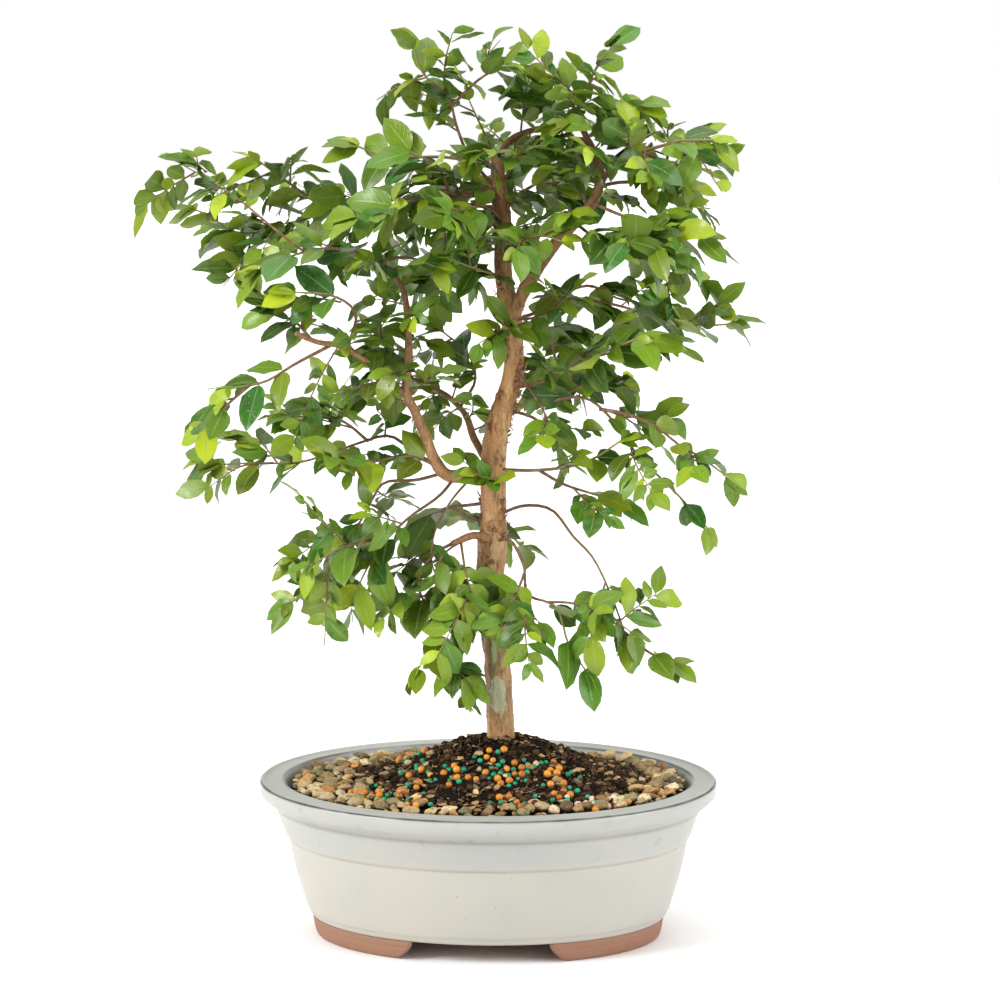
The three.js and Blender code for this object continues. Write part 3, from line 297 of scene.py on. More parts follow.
def floor_with_holes(half_length, height, angles):
    """Half of an oval floor on each side of the middle line, as rows from the drain hole's round edge
    out to the floor's edge, which lie on straight lines from the hole's centre."""
    halves = []
    for side in (-1, 1):
        arc = oval(half_length, height, angles[np.cos(angles) * side > -1e-9])
        arc = arc[np.argsort(arc[:, 1])]
        line = np.linspace(arc[-1], arc[0], 13)[1:-1]
        edge = np.concatenate([arc, line])
        centre = np.array([side * DRAIN_HOLE_SPACING / 2, 0, height])
        spoke = edge - centre
        hole = centre + spoke / np.linalg.norm(spoke, axis=1, keepdims=True) * DRAIN_HOLE_RADIUS
        halves.append(np.stack([hole, hole * 0.5 + edge * 0.5, edge]))
    return halves


def pot_surface(outline, angles):
    """The outline carried round the oval, with slow noise that moves the wall in and out below the
    rim, then the underside, the floor and the drain holes' walls. For each face a number says if it
    is glazed, 0, or bare, 1."""
    wall = oval(outline[:, :1], outline[:, 1:], angles)
    ripple = lattice_noise(wall * [0.02, 0.02, 0.06], 1) * 0.35
    ripple[[0, -1]] = 0
    outward = wall * [1, 1, 0] / np.linalg.norm(wall[..., :2], axis=-1, keepdims=True)
    wall = wall + outward * ripple[..., None] * (wall[..., 2:] < RIM_UNDERSIDE)
    under, top = (floor_with_holes(*outline[end], angles) for end in (0, -1))
    hole_walls = [np.stack([low[0], high[0]]) for low, high in zip(under, top)]
    points, faces = [wall.reshape(-1, 3)], [grid_faces(len(outline), POT_ANGLES, True)]
    for patch in (*under, *top, *hole_walls):
        faces.append(grid_faces(len(patch), patch.shape[1], True) + sum(map(len, points)))
        points.append(patch.reshape(-1, 3))
    bare = np.repeat([0, 1, 1, 0, 0, 1, 1], [len(block) for block in faces])
    return np.concatenate(points), np.concatenate(faces), bare


def glaze_shades(half_length, height, angle):
    """Where the glaze is thin, where it is blue and where the clay shows, and the painted shade that darkens
    the band above the step and the neck under the lip: e to the minus squared distance from the edges and
    heights at which it ran and at which shade is painted, made uneven by noise round the pot."""
    round_pot = np.cos(angle), np.sin(angle)
    flow = lattice_noise(np.stack([*round_pot, height * 0.01], -1) * 6, 3)
    drips = lattice_noise(np.stack([*round_pot, height * 0.02], -1) * 17, 4)
    to_outer = np.hypot(half_length - RIM_OUTER_EDGE[0], height - RIM_OUTER_EDGE[1])
    to_inner = np.hypot(half_length - RIM_INNER_EDGE[0], height - RIM_INNER_EDGE[1])
    outer_line = np.exp(-(to_outer / (0.65 + 0.15 * flow + 0.1 * drips)) ** 2)
    inner_line = np.exp(-(to_inner / (1.0 + 0.3 * drips)) ** 2)
    # The neck under the lip: its brown is clay showing, and its darkening with the thin glaze's dark is
    # painted shade
    at_neck = np.exp(-((height - NECK_HEIGHT) / 1.1) ** 2) * (half_length > OUTSIDE_AT_NECK)
    at_step = np.exp(-((height - STEP_HEIGHT) / 0.8) ** 2) * (half_length > OUTSIDE_AT_STEP)
    at_seam = np.exp(-((height - SEAM_HEIGHT) / 0.8) ** 2) * (half_length > OUTSIDE_AT_SEAM)
    in_front = np.clip(-np.sin(angle), 0, 1) ** 2
    rim = np.clip(height - RIM_TOP, 0, 1) * (0.5 - 0.25 * in_front)
    # Painted shade: the glaze is turned grey-blue over the band above the step, which the lip overhangs
    band = np.clip((height - STEP_HEIGHT) / 5, 0, 1) * 0.6 * (half_length > OUTSIDE_AT_STEP)
    # Painted shade: a soft dark grey line just under the lip, where the lip shades the neck
    under_lip_shade = np.exp(-((height - UNDER_LIP_SHADE_HEIGHT) / 3) ** 2) * (half_length > OUTSIDE_AT_NECK)
    inside = (half_length < INSIDE_HALF_LENGTH) & (height > 60)
    at_edges = outer_line * (1.0 + 0.25 * drips) + inner_line * (0.6 + 0.5 * flow)
    # The dark shade is thin glaze at the edges and the step, plus painted shade at the neck and under the lip
    return {
        "thin_glaze_and_shade": np.clip(at_edges + 0.22 * at_neck + 0.08 * under_lip_shade + 0.08 * at_step, 0, 1),
        "blue_glaze_and_shade": np.maximum.reduce([rim, band, under_lip_shade, inside]),
        "clay_shows": 0.6 * at_neck + 0.8 * at_step + 0.5 * at_seam,
    }


def make_pot():
    """The pot's surface in two finishes, with the glaze's shades and the painted shade under its rim kept on
    its wall's points.
    """
    outline = rounded(POT_OUTLINE, 3)
    angles = np.arange(POT_ANGLES) * 2 * np.pi / POT_ANGLES
    points, faces, bare = pot_surface(outline, angles)
    half_length, height = np.repeat(outline, POT_ANGLES, axis=0).T
    shades = glaze_shades(half_length, height, np.tile(angles, len(outline)))
    spare = len(points) - len(height)
    values = {name: np.pad(shade, (0, spare)) for name, shade in shades.items()}
    piece = add_piece("glazed_pot", points, faces, [ivory_glaze(), bare_clay()],
                      finish_numbers=bare, values=values, welded=True)
    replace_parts(piece, "pot")


def ivory_glaze():
    """Ivory glaze with blue-grey clouds, dark where it is thin, and with a few pinholes; above the step and
    at the neck under the lip it is darkened with painted shade.
    """
    material, paint = new_finish("ivory_glaze")
    place = object_place(paint)
    clouds = noise(paint, place, 0.013, 4.0).step(0.38, 0.68)
    streaks = noise(paint, place, 0.05, 3.0).step(0.45, 0.75)
    # The blue-grey mixed in here holds painted shade on the band and under the lip, with the rim's and the
    # inside's own blue
    shadings = clouds * 0.3 + streaks * 0.14 + attribute(paint, "blue_glaze_and_shade") * 0.8
    colour = paint.mix(IVORY, PALE_BLUE_AND_SHADE, shadings)
    colour = paint.mix(colour, CLAY_IN_GLAZE, attribute(paint, "clay_shows") * (0.35 + clouds * 0.3))
    smears = noise(paint, place, 0.12, 4.0, 0.6).step(0.6, 0.72) * attribute(paint, "blue_glaze_and_shade") * 0.22
    pinholes = dots(paint, place, 0.16).step(0.075, 0.05)
    sparse = noise(paint, place, 0.03, 2.0).step(0.56, 0.6)
    # The dark mixed in here holds painted shade at the neck and under the lip, with the thin glaze, smears
    # and pinholes
    colour = paint.mix(colour, THIN_GLAZE_AND_SHADE, attribute(paint, "thin_glaze_and_shade") + smears + pinholes * sparse * 0.6)
    normal = bumps(paint, 0.2, 0.5, noise(paint, place, 0.06, 2.0))
    coat_with(paint, {"Base Color": colour, "Roughness": streaks * 0.1 + 0.34, "Normal": normal,
                      "Coat Weight": 0.2, "Coat Roughness": 0.22})
    return material


def bare_clay():
    """Fired clay, dull and grainy, in two browns."""
    material, paint = new_finish("bare_clay")
    place = object_place(paint)
    grain = noise(paint, place, 0.9, 4.0, 0.7)
    patches = noise(paint, place, 0.04, 3.0)
    colour = paint.mix(BARE_CLAY, BROWNER_CLAY, patches.step(0.4, 0.75) * 0.55 + grain * 0.25)
    normal = bumps(paint, 0.5, 0.3, grain)
    coat_with(paint, {"Base Color": colour, "Roughness": 0.88, "Normal": normal})
    return material


make_pot()


# The feet: two C-shaped bands of the same clay under the pot's ends, left bare of glaze so that
# they don't stick to the kiln shelf. Their ends curve in towards the pot's underside.
FOOT_OUTLINE = [
    (84, 11.2), (84, 6), (84, 0.9), (85, 0), (90, 0), (94.6, 0), (95.9, 0.8), (96.8, 4), (97.4, 6.4),
    (97.0, 7.1), (97.6, 8.0), (98, 11.2),
]
HALF_GAP_AT_SOLE = 46
HALF_GAP_AT_TOP = 37
FOOT_STEPS = 81


def make_feet():
    """Carries the band's outline along the oval between the gap's two ends, where half the gap falls
    from sole to top as a power of the height, and closes each end with a fan."""
    outline = rounded(FOOT_OUTLINE, 2)
    count = len(outline)
    rise = np.clip(outline[:, 1] / FOOT_LINE, 0, 1)
    half_gap = HALF_GAP_AT_TOP + (HALF_GAP_AT_SOLE - HALF_GAP_AT_TOP) * (1 - rise) ** 1.7
    reach = np.arccos(half_gap / outline[:, 0])
    share = np.linspace(-1, 1, FOOT_STEPS)[:, None]
    right = oval(outline[:, 0], outline[:, 1], share * reach)
    ring = np.arange(count)
    after = (ring + 1) % count
    points, faces = [], []
    for band in (right, right * [-1, -1, 1]):
        start = sum(map(len, points))
        middles = start + FOOT_STEPS * count
        last_row = middles - count
        faces.append(grid_faces(FOOT_STEPS, count, True) + start)
        faces.append(np.stack([np.full(count, middles), start + after, start + ring], -1))
        faces.append(np.stack([np.full(count, middles + 1), last_row + ring, last_row + after], -1))
        points += [band.reshape(-1, 3), band[[0, -1]].mean(1)]
    rows = [face for block in faces for face in block.tolist()]
    clay = bpy.data.materials["bare_clay"]
    piece = add_piece("clay_feet", np.concatenate(points), rows, [clay], welded=True)
    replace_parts(piece, "pot")


make_feet()


# The drain screens: two squares of black plastic mesh, moulded as thin bars that cross. They are laid
# over the drain holes before the pot is filled, and hold the soil back.
SCREEN_SIZE = 34
SCREEN_BARS = 12
SCREEN_BAR_RADIUS = 0.5
SCREEN_BAR_SIDES = 6
SCREEN_MIDDLE = 0.9
CROSSING_LIFT = 0.15


def bent_tubes(paths, radii, sides):
    """Round tubes along paths, an array of tubes by steps by 3. At each step a ring of points lies at
    its radii, of tubes by steps by sides, round the path and across its direction, and each end is
    closed by a point."""
    along = np.gradient(paths, axis=1)
    along /= np.linalg.norm(along, axis=-1, keepdims=True)
    least = np.abs(along).mean(1).argmin(-1)
    across = np.eye(3)[least][:, None, :] * np.ones_like(along)
    across -= along * (across * along).sum(-1, keepdims=True)
    across /= np.linalg.norm(across, axis=-1, keepdims=True)
    other = np.cross(along, across)
    angle = np.arange(sides) * 2 * np.pi / sides
    ring = across[:, :, None] * np.cos(angle)[:, None] + other[:, :, None] * np.sin(angle)[:, None]
    rings = paths[:, :, None] + ring * radii[..., None]
    ends = np.repeat(paths[:, [0, -1], None], sides, 2)
    rings = np.concatenate([ends[:, :1], rings, ends[:, 1:]], 1)
    tubes, steps = rings.shape[:2]
    faces = grid_faces(steps, sides, True)
    faces = (faces[None] + (np.arange(tubes) * steps * sides)[:, None, None]).reshape(-1, 4)
    return rings.reshape(-1, 3), faces


def make_screens():
    """Straight tubes side by side one way, and a little higher the other way."""
    material, paint = new_finish("black_mesh")
    coat_with(paint, {"Base Color": (0.015, 0.016, 0.016, 1), "Roughness": 0.55})
    reach = SCREEN_SIZE / 2 - SCREEN_BAR_RADIUS
    place = (np.arange(SCREEN_BARS) / (SCREEN_BARS - 1) - 0.5) * 2 * reach
    end = np.full(SCREEN_BARS, reach)
    for name, side in (("left", -1), ("right", 1)):
        centre = np.array([side * DRAIN_HOLE_SPACING / 2, 0, FLOOR_TOP + SCREEN_MIDDLE])
        lengthwise = np.stack([np.stack([end * s, place, 0 * place], -1) for s in (-1, 0, 1)], 1)
        crosswise = lengthwise[..., [1, 0, 2]] + [0, 0, CROSSING_LIFT]
        paths = centre + np.concatenate([lengthwise, crosswise])
        radii = np.full((*paths.shape[:2], SCREEN_BAR_SIDES), SCREEN_BAR_RADIUS)
        points, faces = bent_tubes(paths, radii, SCREEN_BAR_SIDES)
        piece = add_piece("mesh_" + name, points, faces, [material], welded=True)
        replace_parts(piece, "drain_screen_" + name)


make_screens()


# The soil: dark peat with bits of bark and white perlite, firmed into a mound round the trunk. Its
# crumbs, the perlite and the bark lie loose on it, pressed in a little.
SOIL_EDGE_HEIGHT = 82
MOUND_HEIGHT = 30
MOUND_CENTRE_X = 7
MOUND_SPREAD = 46
MOUND_LENGTH_SHARE = 0.62
WALL_INSIDE_AT_SOIL = 110.2
SOIL_BED_BOTTOM = 60
SOIL_RINGS = 110
SOIL_SIDES = 240
GRAVEL_BED = 2.4
BARE_SOIL_CENTRE = np.array([7.5, 6.5])
BARE_SOIL_HALF_AXES = np.array([81.5, 64.5])
PEAT = (0.012, 0.007, 0.004, 1)
PEAT_DRY = (0.055, 0.031, 0.016, 1)
PEAT_SPECK = (0.3, 0.2, 0.12, 1)
CRUMBS = 3200
PERLITE_BITS = 560
BARK_BITS = 1000
MOSTLY_SMALL = 2.5
FIBRES = 70
FIBRE_RADIUS = 0.22
FIBRE_SIDES = 4
FIBRE_SEED = 12000


def chance(seed, channel):
    """A repeatable number from 0 to 1 for each seed and channel: the fraction of a large sine."""
    wave = np.sin(np.asarray(seed) * 12.9898 + channel * 78.233) * 43758.5453
    return wave - np.floor(wave)


def between(low, high, seed, channel):
    """A repeatable number from low to high."""
    return low + (high - low) * chance(seed, channel)


def soil_height(x, y):
    """A bell-shaped mound: its height times e to the minus squared distance from the trunk."""
    spread = (MOUND_LENGTH_SHARE * (x - MOUND_CENTRE_X) ** 2 + y ** 2) / MOUND_SPREAD ** 2
    return SOIL_EDGE_HEIGHT + MOUND_HEIGHT * np.exp(-spread)


def make_soil_bed():
    """Rings of an oval from the middle to the pot's wall at the mound's height, roughened by noise,
    and lower where the gravel lies. The last ring turns down along the wall and closes below."""
    ring = np.linspace(0, 1, SOIL_RINGS)[:, None] ** 0.85
    angle = np.arange(SOIL_SIDES) * 2 * np.pi / SOIL_SIDES
    flat = oval(WALL_INSIDE_AT_SOIL, SOIL_EDGE_HEIGHT, angle)
    middle = np.array([MOUND_CENTRE_X, 0, 0])
    top = middle + (flat - middle) * ring[..., None]
    x, y = top[..., 0], top[..., 1]
    bare = np.hypot(*((top[..., :2] - BARE_SOIL_CENTRE) / BARE_SOIL_HALF_AXES).transpose(2, 0, 1))
    under_gravel = np.clip((bare - 0.97) / 0.06, 0, 1) * GRAVEL_BED
    lumps = lattice_noise(top * [0.12, 0.12, 0], 5) * 0.9 + lattice_noise(top * [0.35, 0.35, 0], 6) * 1.2
    crumb = np.abs(lattice_noise(top * [0.7, 0.7, 0], 7)) * 1.5
    calm = np.clip((1 - ring) * 12, 0, 1) * np.clip(ring * 9, 0.25, 1)
    top[..., 2] = soil_height(x, y) - under_gravel + (lumps + crumb) * calm - 0.4
    side = oval(WALL_INSIDE_AT_SOIL - 5, SOIL_BED_BOTTOM, angle)
    bottom = side * [0, 0, 1]
    points = np.concatenate([top, side[None], bottom[None]])
    faces = grid_faces(len(points), SOIL_SIDES, True)
    piece = add_piece("soil_bed", points.reshape(-1, 3), faces, [peat()], welded=True)
    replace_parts(piece, "soil")


def peat():
    """Damp black peat, browner where it has dried, with specks of bark."""
    material, paint = new_finish("peat")
    place = object_place(paint)
    fine = noise(paint, place, 0.75, 5.0, 0.7)
    damp = noise(paint, place, 0.06, 3.0)
    colour = paint.mix(PEAT, PEAT_DRY, fine.step(0.5, 0.75) * 0.75 + damp.step(0.5, 0.8) * 0.3)
    specks = dots(paint, place, 0.3).step(0.13, 0.08)
    sparse = noise(paint, place, 0.2, 2.0).step(0.52, 0.58)
    colour = paint.mix(colour, PEAT_SPECK, specks * sparse * 0.7)
    normal = bumps(paint, 0.9, 1.2, fine)
    coat_with(paint, {"Base Color": colour, "Roughness": 0.93, "Normal": normal, "Specular IOR Level": 0.12})
    return material


def cut_cube(cuts):
    """A cube with each face cut into cuts by cuts, blown up to a ball: each side's grid is turned to
    its axis, the points that sides share are merged, and all are brought to one distance."""
    u, v = np.meshgrid(np.arange(cuts + 1), np.arange(cuts + 1), indexing="ij")
    near, far = np.zeros_like(u), np.full_like(u, cuts)
    facing_pair = [np.stack(side, -1) for side in ((near, v, u), (far, u, v))]
    sides = [np.roll(side, axis, -1) for axis in range(3) for side in facing_pair]
    corners, numbers = np.unique(np.concatenate(sides).reshape(-1, 3), axis=0, return_inverse=True)
    faces = grid_faces(cuts + 1, cuts + 1)[:, ::-1][None] + (np.arange(6) * u.size)[:, None, None]
    cube = corners / cuts * 2 - 1
    return unit(np.tan(cube * np.pi / 4)), numbers.ravel()[faces.reshape(-1, 4)]


def unit(vectors):
    """Vectors divided by their lengths."""
    return vectors / np.linalg.norm(vectors, axis=-1, keepdims=True)


def broken(shape, seeds, planes):
    """Flattens balls where planes cut them: a point past a plane drops back onto it."""
    for plane in range(planes):
        key = seeds * 17 + plane
        normal = unit(np.stack([between(-1, 1, key, channel) for channel in (61, 62, 63)], -1))[:, None]
        past = (shape * normal).sum(-1, keepdims=True) - between(0.45, 0.82, key, 64)[:, None, None]
        shape = shape - normal * np.maximum(past, 0)
    return shape


def scatter(places, sizes, seeds, ball, roughness, bury, planes=0):
    """Bits at places: the ball with each point pushed in or out by chance and flattened by planes,
    scaled to three sizes, turned by three angles and sunk by a share of its height. The values are
    each bit's own tint, and how low each point lies in its bit."""
    corners, ball_faces = ball
    push = roughness * (chance(seeds[:, None] * 31 + np.arange(len(corners)), 3) - 0.5) * 2
    shape = broken(corners * (1 + push[..., None]), seeds, planes) * sizes[:, None]
    turn, tilt, roll = (between(-1, 1, seeds, channel) for channel in (4, 5, 6))
    for angle, (a, b) in ((roll * 0.4, (1, 2)), (tilt * 0.4, (0, 2)), (turn * np.pi, (0, 1))):
        cos, sin = np.cos(angle)[:, None], np.sin(angle)[:, None]
        first, second = shape[..., a].copy(), shape[..., b].copy()
        shape[..., a] = first * cos - second * sin
        shape[..., b] = first * sin + second * cos
    heights = soil_height(*places.T) + sizes[:, 2] * (1 - 2 * bury)
    centres = np.column_stack([places, heights])
    points = (shape + centres[:, None]).reshape(-1, 3)
    faces = (ball_faces[None] + (np.arange(len(places)) * len(corners))[:, None, None]).reshape(-1, 4)
    low = 0.5 - 0.5 * shape[..., 2] / sizes[:, 2:]
    return points, faces, {"tint": np.repeat(chance(seeds, 9), len(corners)), "low": low.ravel()}


ROUND_BIT, BROKEN_BIT = cut_cube(2), cut_cube(3)


def in_oval(seeds, low=0.0, high=1.0):
    """Places spread evenly over the bare soil's oval between two shares of its size."""
    angle = between(0, 2 * np.pi, seeds, 21)
    out = np.sqrt(between(low ** 2, high ** 2, seeds, 22))
    ray = np.stack([np.cos(angle), np.sin(angle)], -1)
    return BARE_SOIL_CENTRE + ray * out[:, None] * BARE_SOIL_HALF_AXES


def tinted(name, dark, light, roughness, bumpiness=0.5, scale=0.8, shine=0.3):
    """A finish whose colour goes from dark to light with each piece's own tint, and in patches."""
    material, paint = new_finish(name)
    place = object_place(paint)
    patches = noise(paint, place, scale, 4.0, 0.65)
    colour = paint.mix(dark, light, attribute(paint, "tint") * 0.75 + patches.step(0.35, 0.75) * 0.4)
    coat_with(paint, {"Base Color": colour, "Roughness": roughness, "Specular IOR Level": shine,
                      "Normal": bumps(paint, bumpiness, 0.4, patches)})
    return material


def make_soil_bits():
    """Broken bits, most of them small: the least half length plus the rest times chance to a power.
    Each kind has its number, least and greatest half length, thickness as a share of the smaller
    side, number of breaks, finish and first seed."""
    crumb = tinted("crumbs", PEAT, (0.125, 0.07, 0.036, 1), 0.95, shine=0.15)
    perlite = tinted("perlite", (0.55, 0.52, 0.46, 1), (0.88, 0.86, 0.8, 1), 0.8)
    bark_bit = tinted("bark_bits", (0.045, 0.022, 0.010, 1), (0.66, 0.42, 0.20, 1), 0.85)
    for name, count, low, high, flat, planes, finish, first in (
        ("peat_crumbs", CRUMBS, 0.7, 2.5, 0.9, 2, crumb, 0),
        ("perlite", PERLITE_BITS, 0.25, 0.8, 0.9, 2, perlite, 5000),
        ("bark_bits", BARK_BITS, 0.6, 4.4, 0.35, 5, bark_bit, 7000),
    ):
        seeds = np.arange(count) + first
        places = in_oval(seeds, 0.11, 1.12)
        length = low + (high - low) * chance(seeds, 24) ** MOSTLY_SMALL
        width = length * between(0.4, 0.95, seeds, 25)
        sizes = np.stack([length, width, np.minimum(length, width) * flat], -1)
        points, faces, values = scatter(places, sizes, seeds, ROUND_BIT, roughness=0.22, bury=0.25,
                                        planes=planes)
        piece = add_piece(name, points, faces, [finish], smooth=False, values=values)


def make_fibres():
    """Root hairs and bits of leaf stalk: thin bent tubes that lie on the soil at all angles."""
    seeds = np.arange(FIBRES) + FIBRE_SEED
    places = in_oval(seeds, 0.14, 1.0)
    angle, length = between(0, np.pi, seeds, 71), between(2.5, 9, seeds, 72)
    along = np.stack([np.cos(angle), np.sin(angle)], -1)[:, None]
    share = np.linspace(-0.5, 0.5, 4)[:, None]
    aside = along[..., ::-1] * [1, -1] * (between(-0.5, 0.5, seeds, 73)[:, None, None] * share ** 2)
    flat = places[:, None] + (along * share + aside) * length[:, None, None]
    tilt = (chance(seeds, 74)[:, None] - 0.3) * share[:, 0] * 1.4
    height = soil_height(flat[..., 0], flat[..., 1]) + 0.75 + tilt
    paths = np.concatenate([flat, height[..., None]], -1)
    points, faces = bent_tubes(paths, np.full((*paths.shape[:2], FIBRE_SIDES), FIBRE_RADIUS), FIBRE_SIDES)
    tint = np.repeat(chance(seeds, 75), len(points) // FIBRES)
    straw = tinted("fibres", (0.06, 0.032, 0.016, 1), (0.48, 0.36, 0.22, 1), 0.85)
    piece = add_piece("fibres", points, faces, [straw], values={"tint": tint}, welded=True)


make_soil_bed()
make_soil_bits()
make_fibres()


# The fertiliser: round coated grains, the orange ones larger than the green, strewn by hand over
# the soil on the left and in front.
ORANGE_GRAINS = 105
GREEN_GRAINS = 215
ORANGE_RADIUS = 1.95
GREEN_RADIUS = 1.45
GRAIN_CLUMPS = 26
GRAINS_APART = 0.96
GRAIN_SEED = 20000


def apart(places, radius, share):
    """Numbers of the places, the largest first, where none kept before lies nearer than a share of
    the two radii's sum."""
    kept = []
    for number in np.argsort(-radius, kind="stable"):
        room = np.linalg.norm(places[kept] - places[number], axis=1) - share * (radius[kept] + radius[number])
        if (room > 0).all():
            kept.append(number)
    return np.array(kept)


def strewn(seeds):
    """Places in clumps over the soil. On the left they reach back past the middle."""
    clump = np.floor(between(0, GRAIN_CLUMPS, seeds, 31))
    x = between(-76, 62, clump + 400, 32)
    behind = np.clip((-20 - x) / 40, 0, 1) * 60 - 24
    y = -64 + (behind + 64) * chance(clump + 400, 35)
    x = x + between(-13, 13, seeds, 33) * chance(seeds, 34)
    y = y + between(-11, 11, seeds, 36) * chance(seeds, 37)
    return np.stack([x, y], -1)


def make_grains():
    """Balls of two sizes, a little uneven, pressed into the soil where there is room for them."""
    seeds = np.arange(ORANGE_GRAINS + GREEN_GRAINS) + GRAIN_SEED
    green = np.arange(len(seeds)) >= ORANGE_GRAINS
    radius = np.where(green, GREEN_RADIUS, ORANGE_RADIUS) * between(0.85, 1.12, seeds, 38)
    places = strewn(seeds)
    kept = apart(places, radius, GRAINS_APART)
    for name, own, dark, light in (
        ("orange_grains", kept[~green[kept]], (0.40, 0.10, 0.01, 1), (0.86, 0.36, 0.03, 1)),
        ("green_grains", kept[green[kept]], (0.0, 0.17, 0.075, 1), (0.01, 0.42, 0.21, 1)),
    ):
        sizes = radius[own][:, None] * np.ones(3)
        points, faces, values = scatter(places[own], sizes, seeds[own], BROKEN_BIT, roughness=0.02, bury=0.12)
        finish = tinted(name, dark, light, 0.42, bumpiness=0.15, scale=0.5, shine=0.5)
        piece = add_piece(name, points, faces, [finish], values=values)


make_grains()


# The gravel: broken river stones, tan, pink, grey and green-grey, laid round the bare soil. They
# are poured in by hand, so they lie at all angles and some have rolled onto the soil.
STONE_TRIES = 12000
STONE_RADII = (1.0, 4.8)
STONES_APART = 0.82
STONES_REACH = (109.4, 84.4)
STONE_MOST_HEIGHT = 3.6
STONE_LIFT_AT_WALL = 1.6
STONE_SINK = 0.6
STONE_PLANES = 11
STONE_SEED = 40000
STONES_ON_SOIL = 36
LOOSE_STONE_SEED = 60000
WHITE_PEBBLES = 16
PEBBLE_SEED = 66000
STONE_COLOURS = [
    (0.0, (0.11, 0.065, 0.03, 1)), (0.12, (0.62, 0.40, 0.16, 1)), (0.26, (0.17, 0.135, 0.07, 1)),
    (0.40, (0.76, 0.55, 0.27, 1)), (0.52, (0.055, 0.04, 0.026, 1)), (0.64, (0.62, 0.27, 0.08, 1)),
    (0.78, (0.27, 0.24, 0.11, 1)), (0.9, (0.88, 0.68, 0.42, 1)), (1.0, (0.24, 0.13, 0.06, 1)),
]
STONE_GRAIN = (0.90, 0.72, 0.42, 1)
STONE_PIT = (0.06, 0.036, 0.016, 1)
STONE_ALGAE = (0.16, 0.20, 0.03, 1)
# The near-black of painted shade on the lower part of each stone, between the stones
SHADE_BETWEEN_STONES = (0.035, 0.022, 0.012, 1)


def packed_stones():
    """Places tried one by one in the ring of gravel, the largest stones first, and kept where no
    stone kept before overlaps. In front and right of the middle fewer are kept."""
    seeds = np.arange(STONE_TRIES) + STONE_SEED
    angle = between(0, 2 * np.pi, seeds, 41)
    radius = STONE_RADII[0] + (STONE_RADII[1] - STONE_RADII[0]) * chance(seeds, 42) ** 2.2
    ray = np.stack([np.cos(angle), np.sin(angle)], -1)
    outer = ray * (np.array(STONES_REACH) - radius[:, None])
    inner = BARE_SOIL_CENTRE + ray * (BARE_SOIL_HALF_AXES + radius[:, None] * 0.3)
    share = np.sqrt(chance(seeds, 43))
    places = inner + (outer - inner) * share[:, None]
    sparse = np.clip((places[:, 0] + 95) / 60, 0, 0.9) * (places[:, 1] < -30)
    thinned = chance(seeds, 48) < sparse
    fits = np.flatnonzero((np.linalg.norm(outer, axis=1) > np.linalg.norm(inner, axis=1)) & ~thinned)
    kept = fits[apart(places[fits], radius[fits], STONES_APART)]
    loose = np.arange(STONES_ON_SOIL) + LOOSE_STONE_SEED
    on_soil = in_oval(loose, 0.35, 0.98)
    on_soil[:, 1] = -np.abs(on_soil[:, 1])
    loose_radius = between(1.4, 3.4, loose, 44)
    lift = np.clip(share[kept] * 2 - 1, 0, 1) * STONE_LIFT_AT_WALL
    in_ring = places[kept], radius[kept], seeds[kept], lift
    return [np.concatenate(pair) for pair in zip(in_ring, (on_soil, loose_radius, loose, 0.0 * loose))]


def make_gravel():
    """Balls broken flat on many sides, longer than wide and lower still, heaped up to the wall."""
    places, radius, seeds, lift = packed_stones()
    sizes = radius[:, None] * np.stack([
        between(1.1, 1.5, seeds, 45), between(0.85, 1.15, seeds, 46), between(0.6, 0.95, seeds, 47),
    ], -1)
    sizes[:, 2] = np.minimum(sizes[:, 2], STONE_MOST_HEIGHT)
    points, faces, values = scatter(places, sizes, seeds, BROKEN_BIT, roughness=0.09, bury=0.15,
                                    planes=STONE_PLANES)
    points[:, 2] += np.repeat(lift - STONE_SINK, len(points) // len(lift))
    piece = add_piece("gravel_stones", points, faces, [river_stone()], smooth=False, values=values)
    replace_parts(piece, "gravel")


def make_white_pebbles():
    """A few round pebbles of pinkish quartz, together in front on the right."""
    seeds = np.arange(WHITE_PEBBLES) + PEBBLE_SEED
    places = np.stack([between(44, 72, seeds, 81), between(-58, -42, seeds, 82)], -1)
    sizes = between(1.5, 2.4, seeds, 83)[:, None] * np.array([1.1, 1, 0.85])
    points, faces, values = scatter(places, sizes, seeds, ROUND_BIT, roughness=0.05, bury=0.15)
    quartz = tinted("quartz", (0.62, 0.40, 0.30, 1), (0.85, 0.72, 0.62, 1), 0.4, bumpiness=0.2, scale=0.5,
                    shine=0.5)
    piece = add_piece("white_pebbles", points, faces, [quartz], values=values)


def river_stone():
    """Stones in the tints of STONE_COLOURS, grained, pitted, green in places, and darkened towards their
    bottoms with painted shade where they lie among other stones.
    """
    material, paint = new_finish("river_stone")
    place = object_place(paint)
    grain = noise(paint, place, 0.6, 5.0, 0.75)
    colour = paint.node("ValToRGB", {"stops": STONE_COLOURS}, {"Fac": attribute(paint, "tint")})
    colour = paint.mix(colour, STONE_GRAIN, grain.step(0.56, 0.64) * 0.35)
    pits = noise(paint, place, 0.42, 5.0, 0.75).step(0.53, 0.62)
    colour = paint.mix(colour, STONE_PIT, pits * 0.65)
    algae = noise(paint, place, 0.16, 3.0).step(0.6, 0.68)
    colour = paint.mix(colour, STONE_ALGAE, algae * 0.6)
    # Painted shade: each stone darkens towards its bottom, where the stones shade one another
    shaded_below = attribute(paint, "low").step(0.36, 0.72)
    colour = paint.mix(colour, SHADE_BETWEEN_STONES, shaded_below * 0.9)
    normal = bumps(paint, 0.7, 0.6, grain)
    coat_with(paint, {"Base Color": colour, "Roughness": 0.75, "Normal": normal, "Specular IOR Level": 0.35})
    return material


make_gravel()
make_white_pebbles()


# The tree's wood: a trunk that leans and turns, with limbs that were cut back and regrew. The bark
# is thin and flakes off in patches, tan over grey-green, and red-brown on the younger limbs.
VIEWPOINT = np.array([107.0, -1748.0, 497.0])
